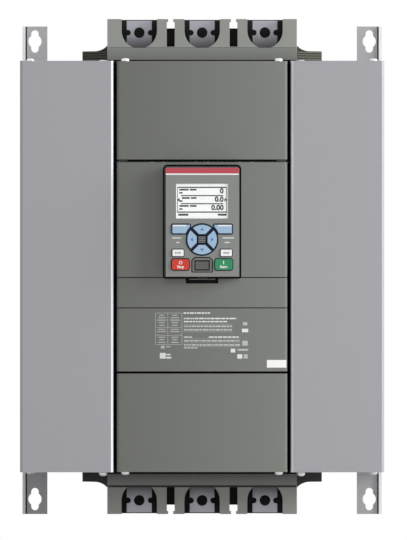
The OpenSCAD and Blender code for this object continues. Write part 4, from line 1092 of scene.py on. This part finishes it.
class STARTER_OT_keypad(bpy.types.Operator):
    """Keypad mouldings, red band, light pipes, port flap and the dark mat round the keys"""

    bl_idname = "starter.keypad"
    bl_label = "Keypad"

    MAT_T = 0.06
    MAT_GAP = 0.18
    # Each mat's finish, and how far it reaches past the keys of a group
    MATS = {
        "key_mat": ("key_mat", ((SOFT_KEYS, 1.2), (ARROW_KEYS, 1.6),
                                ((*WHITE_KEYS, "stop_key", "start_key"), 0.95))),
        "flap_rim": ("foam", ((("usb_flap",), 0.95),)),
    }
    RIM = 0.85
    RIM_SHIFT = Vector((0.45, -0.45))
    RIM_OUT = -0.03
    RIM_DEEP = 0.55
    HUB_WIDE = 8.8
    HUB_X = (-2.7, -0.9, 0.9, 2.7)
    HUB_Z = (-2.55, -0.85, 0.85, 2.55)
    HUB_BAR = (1.5, 0.2, 1.0)
    GRIP_HALF = (7.1, 4.6)
    GRIP_Z = 4.8
    GRIP_LINE = (-0.6, 0.5)
    GRIP_LINE_DEEP = 0.02
    GRIP_RIB = 1.3
    GRIP_RIBS = (-3.1, -1.55, 0, 1.55, 3.1)
    TONGUE_TOP = -7.0

    def mats(self, face):
        """Dark mat round the keys, and the dark rim round the flap."""
        for name, (finish_name, groups) in self.MATS.items():
            loops = [(front_loop(node)[0], wide) for nodes, wide in groups for node in nodes]
            parts = [(grown(loop, self.MAT_GAP), grown(loop, wide), face, face - self.MAT_T)
                     for loop, wide in loops]
            settle(bands(name, parts, finish_name), "keypad", "black_plastic")

    def rim(self):
        """Painted shade on the edge round the keypad's face, wider at the left and the top."""
        loop, face = front_loop("keypad_bezel")
        inner = [point + self.RIM_SHIFT for point in grown(loop, -self.RIM)]
        rim = (inner, grown(loop, self.RIM_OUT), face + self.RIM_DEEP, face - self.MAT_T)
        settle(bands("keypad_rim", [rim], "shell_moulding"), "keypad", "black_plastic")

    def hub(self, face):
        """Dark plate with rows of small bars between the arrow keys."""
        z = face_of("arrow_key_left")[2]
        plate = Spot((0, face, z), (self.HUB_WIDE, self.MAT_T, self.HUB_WIDE))
        settle(boxes("key_mat_hub", [plate], "key_mat"), "keypad", "black_plastic")
        bars = [Spot((x, face - self.MAT_T, z + up), self.HUB_BAR) for x in self.HUB_X for up in self.HUB_Z]
        settle(boxes("key_hub_grip", bars, "keypad_moulding"), "keypad", "bezel_plastic")

    def flap_grip(self, film):
        """Ribbed grip of the flap, and the dark line round it."""
        face = face_of("usb_flap")[1]
        x, z = self.GRIP_HALF
        loop = [Vector((sx * x, self.GRIP_Z + sz * z)) for sx, sz in ((-1, -1), (1, -1), (1, 1), (-1, 1))]
        inner, outer = (grown(loop, reach) for reach in self.GRIP_LINE)
        line = (inner, outer, face + self.GRIP_LINE_DEEP, face - film)
        settle(bands("usb_flap_outline", [line], "foam"), "usb_flap", "black_plastic")
        size = (2 * (x + self.GRIP_LINE[0]), film, self.GRIP_RIB)
        ribs = [Spot((0, face, self.GRIP_Z + dz), size) for dz in self.GRIP_RIBS]
        settle(boxes("usb_flap_grip", ribs, "grip_rubber"), "usb_flap", "flap_rubber")

    def execute(self, context):
        edges = context.scene.starter.edges
        dressed("keypad_bezel", "bezel_plastic", edges.keypad, ["keypad_moulding"])
        dressed("keypad_shell", "bezel_plastic", edges.keypad, ["shell_moulding", "keypad_moulding"],
                lambda centre: int(centre.z < self.TONGUE_TOP))
        dressed("keypad_trim", "trim_red", edges.thin, ["red_trim"])
        dressed("usb_flap", "flap_rubber", edges.keypad, ["flap_rubber"])
        coat_nodes("light_pipe", "status_lights")
        coat_nodes("circuit_board", "keypad_board")
        face = face_of("keypad_bezel")[1]
        self.rim()
        self.mats(face)
        self.hub(face)
        self.flap_grip(context.scene.starter.print.thickness / MM)
        return {"FINISHED"}


class STARTER_OT_keys(bpy.types.Operator):
    """Keys with rounded caps and plain symbols"""

    bl_idname = "starter.keys"
    bl_label = "Keys"

    GROUPS = (("key_blue", "blue_key", SOFT_KEYS + ARROW_KEYS), ("key_white", "white_key", WHITE_KEYS),
              ("key_red", "red_key", ("stop_key",)), ("key_green", "green_key", ("start_key",)))
    TRIANGLE = ((-2.1, -1.0), (2.1, -1.0), (0, 1.6))
    SIGN_UP = 1.9
    RING_STEPS = 32
    RING = (1.15, 1.75)
    BAR = (0.75, 3.4)
    WORD_DOWN = 4.3
    WORD_HIGH = 2.6
    WORD_BOLD = 0.1
    DASHES = ((-2.2, 1.2), (-0.3, 1.5), (1.9, 1.7))
    DASH_HIGH = 1.5
    LINE_IN = 1.5
    LINE_DOWN = 1.75
    LINE = (13.2, 1.3)

    def triangle(self, node, film):
        """A small triangle that points away from the middle of the arrow keys."""
        x, face, z = face_of(node)
        turn = math.radians(90 * ARROW_KEYS.index(node))
        cos, sin = math.cos(turn), math.sin(turn)
        corners = [(x + px * cos - pz * sin, z + px * sin + pz * cos) for px, pz in self.TRIANGLE]
        rings = [[(cx, y, cz) for cx, cz in corners] for y in (face, face - film)]
        settle(ring_piece(node + "_symbol", rings, "key_symbol"), NODE_BODY[node], "key_blue")

    def symbol(self, node, word, film):
        """Stop ring or start bar, over its plain word."""
        x, face, middle = face_of(node)
        z, name = middle + self.SIGN_UP, node + "_sign"
        if node == "stop_key":
            angles = [2 * math.pi * i / self.RING_STEPS for i in range(self.RING_STEPS)]
            inner, outer = ([Vector((x + r * math.cos(a), z + r * math.sin(a))) for a in angles]
                            for r in self.RING)
            sign = bands(name, [(inner, outer, face, face - film)], "white_key")
        else:
            sign = boxes(name, [Spot((x, face, z), (self.BAR[0], film, self.BAR[1]))], "white_key")
        text = lettered(node + "_word", word, self.WORD_HIGH, (x, face, z - self.WORD_DOWN), "white_key",
                        film, self.WORD_BOLD)
        settle(joined(node + "_symbol", [sign, text]), NODE_BODY[node], "key_white")

    def dashes(self, node, film):
        """Short grey bars across a white key."""
        x, face, z = face_of(node)
        spots = [Spot((x + dx, face, z), (w, film, self.DASH_HIGH)) for dx, w in self.DASHES]
        settle(boxes(node + "_symbol", spots, "keypad_moulding"), NODE_BODY[node], "bezel_plastic")

    def line(self, node, film):
        """Painted highlight: a white line along the upper edge of a soft key, where its gloss catches the
        light.
        """
        low, high = span(node)
        wide, tall = self.LINE
        side = 1 if low.x > 0 else -1
        x = max(abs(low.x), abs(high.x)) - self.LINE_IN - wide / 2
        spot = Spot((side * x, low.y, high.z - self.LINE_DOWN), (wide, film, tall))
        settle(boxes(node + "_symbol", [spot], "white_key"), NODE_BODY[node], "key_white")

    def execute(self, context):
        film = context.scene.starter.print.thickness / MM
        for slot, name, nodes in self.GROUPS:
            for node in nodes:
                dressed(node, slot, context.scene.starter.edges.key, [name], segments=3)
        for node in ARROW_KEYS:
            self.triangle(node, film)
        for node in WHITE_KEYS:
            self.dashes(node, film)
        for node in SOFT_KEYS:
            self.line(node, film)
        self.symbol("stop_key", "Stop", film)
        self.symbol("start_key", "Start", film)
        return {"FINISHED"}


class STARTER_OT_display(bpy.types.Operator):
    """Display pane, lit screen, its rules, rows and plain figures"""

    bl_idname = "starter.display"
    bl_label = "Display"

    PANE_T = 0.5
    PANE_GAP = 0.25
    PANE_EDGE = 0.1
    SCREEN_EDGE = 0.05
    FIGURES = (("0", 78.4), ("0.0", 70.1), ("0.00", 61.9))
    FIGURE_X = 21.2
    FIGURE_HIGH = 4.9
    FIGURE_BOLD = 0.34
    # Middle across, middle up, width and height
    RULES = ((0, 82.1, 48.6, 1.25), (0, 73.9, 42.0, 1.1), (0, 65.9, 42.0, 1.1), (0, 57.6, 49.6, 1.25),
             (-24.3, 69.8, 0.6, 25.0), (24.3, 69.8, 0.6, 25.0))
    FOOT = ((-18.6, 55.0, 10.0, 2.0), (19.9, 55.0, 8.8, 2.0))
    # Middle up, left end and right end
    LABELS = ((79.8, -22.3, -5.7), (71.6, -19.8, -5.7), (63.7, -22.3, -5.7))
    LABEL_CUT = 0.58
    LABEL_GAP = 0.4
    LABEL_HIGH = 1.7
    UNIT_X = -21.0
    UNIT_DROP = 3.1
    UNIT_SIZE = (3.2, 1.6)
    POINTER = ((25.0, 69.7), (22.2, 71.6), (22.2, 67.8))

    def slab(self, name, low, high, back, front, radius, finish_name):
        """A block with rounded edges, as wide and high as the window."""
        bm = bmesh.new()
        low, high = Vector((low.x, front, low.z)), Vector((high.x, back, high.z))
        bmesh.ops.create_cube(bm, size=1.0, matrix=Matrix.LocRotScale(
            (low + high) / 2 * MM, None, (high - low) * MM))
        rounded(bm, radius * MM)
        return place(name, mesh_of(name, bm), finish_name)

    def bars(self):
        """Bars along the rows and rules between them: middle across, middle up, width and height."""
        bars = list(self.RULES)
        gap = self.LABEL_GAP
        for z, x0, x1 in self.LABELS:
            cut = x0 + self.LABEL_CUT * (x1 - x0)
            bars.append(((x0 + cut) / 2 - gap, z, cut - x0 - gap, self.LABEL_HIGH))
            bars.append(((x1 + cut) / 2 + gap, z, x1 - cut - gap, self.LABEL_HIGH))
            bars.append((self.UNIT_X, z - self.UNIT_DROP, *self.UNIT_SIZE))
        return bars + list(self.FOOT)

    def marks(self, face, film):
        """Bars, side pointers and right-hand figures."""
        spots = [Spot((x, face, z), (w, film, h)) for x, z, w, h in self.bars()]
        parts = [boxes("segments", spots, "screen_ink")]
        for side in (-1, 1):
            rings = [[(side * x, y, z) for x, z in self.POINTER] for y in (face, face - film)]
            parts.append(ring_piece("pointer", rings, "screen_ink"))
        for text, z in self.FIGURES:
            parts.append(lettered("figure", text, self.FIGURE_HIGH, (self.FIGURE_X, face, z), "screen_ink",
                                  film, self.FIGURE_BOLD, "RIGHT"))
        return joined("display_segments", parts)

    def execute(self, context):
        low, high = span("display_window")
        pane_back = low.y + self.PANE_T
        face = pane_back + self.PANE_GAP
        pane = self.slab("display_pane", low, high, pane_back, low.y, self.PANE_EDGE, "pane")
        settle(pane, "keypad", "display_glass", "display_window")
        screen = self.slab("display_screen", low, high, high.y, face, self.SCREEN_EDGE, "screen")
        settle(screen, "keypad", "display_panel")
        settle(self.marks(face, context.scene.starter.print.thickness / MM), "keypad", "black_plastic")
        coat_nodes("black_moulding", "display_panel")
        return {"FINISHED"}


class STARTER_OT_front_print(bpy.types.Operator):
    """Light print on the control cover, a blank label, and print on the keypad"""

    bl_idname = "starter.front_print"
    bl_label = "Front Print"

    # Rows of bars: height above the middle, left end, right end and height of the bars
    ROWS = ((-42.4, -18.4, 7.9, 1.5), (-47.8, -18.0, 34.1, 1.4), (-50.9, -18.0, 24.8, 1.3),
            (-55.4, -18.0, 29.8, 0.85), (-59.1, -18.0, 29.8, 0.85), (-66.2, -18.0, -9.9, 1.0),
            (-66.2, 6.5, 36.3, 1.2), (-70.0, -18.0, 37.0, 0.8), (-74.0, -18.0, 37.7, 0.85),
            (-76.9, -18.0, -5.0, 0.8))
    BAR_WIDE = (1.4, 5.6)
    BAR_GAP = 0.7
    BAR_LEAST = 0.6
    # Rules between the rows: height above the middle and right end
    ROW_RULES = ((-53.5, 30.0), (-57.2, 30.0), (-61.0, 30.0), (-68.1, 38.0), (-72.0, 38.0), (-75.6, 38.0))
    RULE_FROM = -14
    RULE_STEP = 8
    RULE_SHARE = 0.6
    TABLE_X = (-46.1, -34.0, -20.0)
    TABLE_Z = (-42.4, -56.5, -64.4, -73.6)
    # Middle across and width of a column of cells
    CELL_X = ((-40.0, 9.2), (-27.0, 9.6))
    CELL_Z = (-44.6, -47.0, -49.4, -51.8, -54.4, -58.6, -60.8, -66.4, -68.8, -71.4)
    CELL_SHARES = (0.55, 0.8, 1, 0.7)
    CELL_HIGH = 1.0
    # Plain fields: middle across, middle up, width and height
    BRIGHT = ((-39.0, -84.7, 5.8, 5.6), (-33.4, -83.6, 4.4, 1.3), (-33.0, -86.6, 5.0, 1.8),
              (42.6, -59.7, 6.2, 3.5), (30.6, -79.6, 4.4, 3.8), (37.4, -85.4, 5.0, 4.2))
    DIM = ((-39.0, -76.2, 3.6, 3.0), (-33.6, -75.8, 4.0, 1.2), (42.6, -53.0, 4.4, 3.2),
           (42.6, -72.3, 5.4, 4.8), (40.4, -78.8, 10.6, 1.8), (43.3, -85.4, 4.0, 4.2))
    # Left, right, bottom, top and thickness
    LABEL = (64.2, 83.6, -96.5, -88.9, 0.12)
    # Drop below the red band, and height
    WHITE_LINE = (0.85, 1.4)
    # Middle across, middle up and width
    KEYPAD_BARS = ((-25.2, 32.0, 9.0), (-24.0, 27.5, 3.4), (26.0, 32.0, 11.5), (24.8, 27.5, 4.6))
    KEYPAD_HIGH = 0.9

    def row(self, z, left, right, height, film, draw):
        """Bars of uneven length along a row."""
        spots, x = [], left
        while x < right - self.BAR_LEAST:
            w = min(draw.uniform(*self.BAR_WIDE), right - x)
            spots.append(on_front(x + w / 2, z, w, height, film))
            x += w + self.BAR_GAP
        return spots

    def table(self, film, rule):
        """Rules and rows of the table, rules between the rows of bars, and the dimmer fields."""
        x0, x2 = self.TABLE_X[0], self.TABLE_X[-1]
        z0, z3 = self.TABLE_Z[0], self.TABLE_Z[-1]
        fields = [((x0 + x2) / 2, z, x2 - x0, rule) for z in self.TABLE_Z]
        fields += [(x, (z0 + z3) / 2, rule, z0 - z3) for x in self.TABLE_X]
        for x, wide in self.CELL_X:
            for i, z in enumerate(self.CELL_Z):
                fields.append((x, z, wide * self.CELL_SHARES[i % len(self.CELL_SHARES)], self.CELL_HIGH))
        for z, right in self.ROW_RULES:
            fields += [(x, z, self.RULE_STEP, self.RULE_SHARE * rule)
                       for x in range(self.RULE_FROM, int(right), self.RULE_STEP)]
        return [on_front(*field, film) for field in (*fields, *self.DIM)]

    def execute(self, context):
        given = context.scene.starter.print
        film, rule = given.thickness / MM, given.line / MM
        draw = random.Random(given.seed)
        spots = [spot for row in self.ROWS for spot in self.row(*row, film, draw)]
        spots += [on_front(*field, film) for field in self.BRIGHT]
        settle(boxes("control_cover_print", spots, "print_ink"), "enclosure", "key_white")
        table = boxes("control_cover_table", self.table(film, rule), "rule_ink")
        settle(table, "enclosure", "bezel_plastic")
        settle(curved_film("blank_label", *self.LABEL, "paper"), "enclosure", "key_white")
        face = face_of("keypad_bezel")[1]
        trim = span("keypad_trim")[0]
        down, high = self.WHITE_LINE
        line = Spot((0, face, trim.z - down), (-2 * trim.x, film, high))
        settle(boxes("keypad_white_line", [line], "white_key"), "keypad", "key_white")
        spots = [Spot((x, face, z), (w, film, self.KEYPAD_HIGH)) for x, z, w in self.KEYPAD_BARS]
        settle(boxes("keypad_print", spots, "paper"), "keypad", "key_white")
        return {"FINISHED"}


class STARTER_OT_inner_works(bpy.types.Operator):
    """Heat sinks, fans, modules, transformers, bypass contactor and control board"""

    bl_idname = "starter.inner_works"
    bl_label = "Inner Works"

    FINISHES = {
        "drawn_aluminium": ["heat_sink_" + column for column in COLUMNS],
        "black_moulding": [kind + column for kind in (
            "thyristor_module_", "fan_frame_", "fan_rotor_", "current_transformer_") for column in COLUMNS]
        + ["bypass_base", "keypad_socket"],
        "copper": ["bypass_fixed_contacts", "bypass_bridges"],
        "core_steel": ["bypass_core", "bypass_armature"],
        "winding": ["bypass_coil"],
        "carrier_moulding": ["bypass_carrier"],
        "circuit_board": ["control_board"],
        "clamp_moulding": ["control_terminals"],
    }

    def execute(self, context):
        for name, nodes in self.FINISHES.items():
            coat_nodes(name, *nodes)
        return {"FINISHED"}


class STARTER_OT_stage(bpy.types.Operator):
    """Camera, softboxes, world and pale floor"""

    bl_idname = "starter.stage"
    bl_label = "Stage"

    SENSOR = 36.0
    # The rest of the stage is in metres, and the softboxes' places to the right and up are in degrees
    NEAREST = 0.5
    KEY = dict(azimuth=66, rise=19, far=3.0, size=1.7)
    FILL = dict(azimuth=4, rise=22, far=3.4, size=1.4)
    FLOOR_HALF = 1.6
    FLOOR_MIDDLE = -0.5
    FLOOR_FADE = (0.5, 0.97)
    FLOOR_COLOUR = (0.93, 0.93, 0.93, 1)

    def camera(self, given):
        """A long lens, straight from the front."""
        lens = bpy.data.cameras.new("Camera")
        lens.lens = given.lens
        lens.sensor_width = self.SENSOR
        far = given.lens * given.frame_height / self.SENSOR
        lens.clip_start, lens.clip_end = self.NEAREST, far * 2
        camera = bpy.data.objects.new("Camera", lens)
        camera.location = (given.aim_x, -given.aim_depth - far, given.aim_z)
        camera.rotation_euler = (math.pi / 2, 0, 0)
        bpy.context.scene.collection.objects.link(camera)
        bpy.context.scene.camera = camera

    def softbox(self, name, level, shines, azimuth, rise, far, size):
        """A square lamp aimed at the middle. A level of 1 shows a white card that faces it as white."""
        lamp = bpy.data.lights.new(name, "AREA")
        lamp.size = size
        lamp.energy = level * math.pi ** 2 * far ** 2
        turn, lift = math.radians(azimuth), math.radians(rise)
        away = Vector((math.sin(turn) * math.cos(lift), -math.cos(turn) * math.cos(lift), math.sin(lift)))
        box = bpy.data.objects.new(name, lamp)
        box.location = away * far
        box.rotation_euler = away.to_track_quat("Z", "Y").to_euler()
        box.visible_glossy = shines
        bpy.context.scene.collection.objects.link(box)

    def world(self, given):
        """White where it is seen, and dim where it only lights."""
        world = bpy.data.worlds.new("White studio")
        bpy.context.scene.world = world
        room = Finish(world)
        camera, glossy, through = (
            room.node("LightPath", output=ray)
            for ray in ("Is Camera Ray", "Is Glossy Ray", "Is Transmission Ray"))
        seen = camera.most(glossy).most(through)
        light = room.node("Background", None, {
            "Color": (1, 1, 1, 1), "Strength": seen * (1 - given.ambient) + given.ambient})
        room.node("OutputWorld", None, {"Surface": light})

    def floor(self, given):
        """A floor that fades out towards its rim and can't be seen from below."""
        bm = bmesh.new()
        bmesh.ops.create_grid(bm, x_segments=1, y_segments=1, size=self.FLOOR_HALF)
        bmesh.ops.translate(bm, verts=bm.verts[:], vec=(0, self.FLOOR_MIDDLE, -given.floor_drop))
        floor = bpy.data.objects.new("Floor", mesh_of("Floor", bm, recalc=False))
        paint = Finish(bpy.data.materials.new("Pale floor"))
        centred = paint.node("Mapping", None, {
            "Vector": paint.node("TexCoord", output="Object"),
            "Location": (0, -self.FLOOR_MIDDLE, given.floor_drop)})
        away = paint.node("VectorMath", {"operation": "LENGTH"}, {0: centred}, "Value")
        fade = paint.ramp(away, *(share * self.FLOOR_HALF for share in self.FLOOR_FADE))
        under = paint.node("NewGeometry", output="Backfacing")
        solid = paint.node("BsdfDiffuse", None, {"Color": self.FLOOR_COLOUR})
        clear = paint.node("BsdfTransparent")
        mixed = paint.node("MixShader", None, {0: fade.most(under), 1: solid, 2: clear})
        paint.node("OutputMaterial", None, {"Surface": mixed})
        floor.data.materials.append(paint.owner)
        bpy.context.scene.collection.objects.link(floor)

    def execute(self, context):
        given = context.scene.starter.stage
        context.scene.view_settings.view_transform = "Standard"
        self.camera(given)
        self.softbox("Key softbox", given.key_level, True, **self.KEY)
        self.softbox("Front softbox", given.fill_level, False, **self.FILL)
        self.world(given)
        self.floor(given)
        return {"FINISHED"}


OPERATORS = (
    STARTER_OT_stage, STARTER_OT_sheet_metal, STARTER_OT_front_covers, STARTER_OT_terminal_blocks,
    STARTER_OT_terminal_bars, STARTER_OT_screws, STARTER_OT_keypad, STARTER_OT_keys,
    STARTER_OT_display, STARTER_OT_front_print, STARTER_OT_inner_works)


class STARTER_PT_finish(bpy.types.Panel):
    """Lists the pieces of the soft starter"""

    bl_idname = "STARTER_PT_finish"
    bl_label = "Soft Starter"
    bl_space_type = "VIEW_3D"
    bl_region_type = "UI"
    bl_category = "Starter"

    def draw(self, context):
        for operator in OPERATORS:
            self.layout.operator(operator.bl_idname)


CLASSES = (StarterColours, StarterEdges, StarterPrint, StarterStage, StarterSettings,
           *OPERATORS, STARTER_PT_finish)


def register():
    for each in CLASSES:
        bpy.utils.register_class(each)
    bpy.types.Scene.starter = PointerProperty(type=StarterSettings)


def unregister():
    del bpy.types.Scene.starter
    for each in reversed(CLASSES):
        bpy.utils.unregister_class(each)


def main():
    register()
    for operator in OPERATORS:
        group, name = operator.bl_idname.split(".")
        getattr(getattr(bpy.ops, group), name)()


if __name__ == "__main__":
    main()
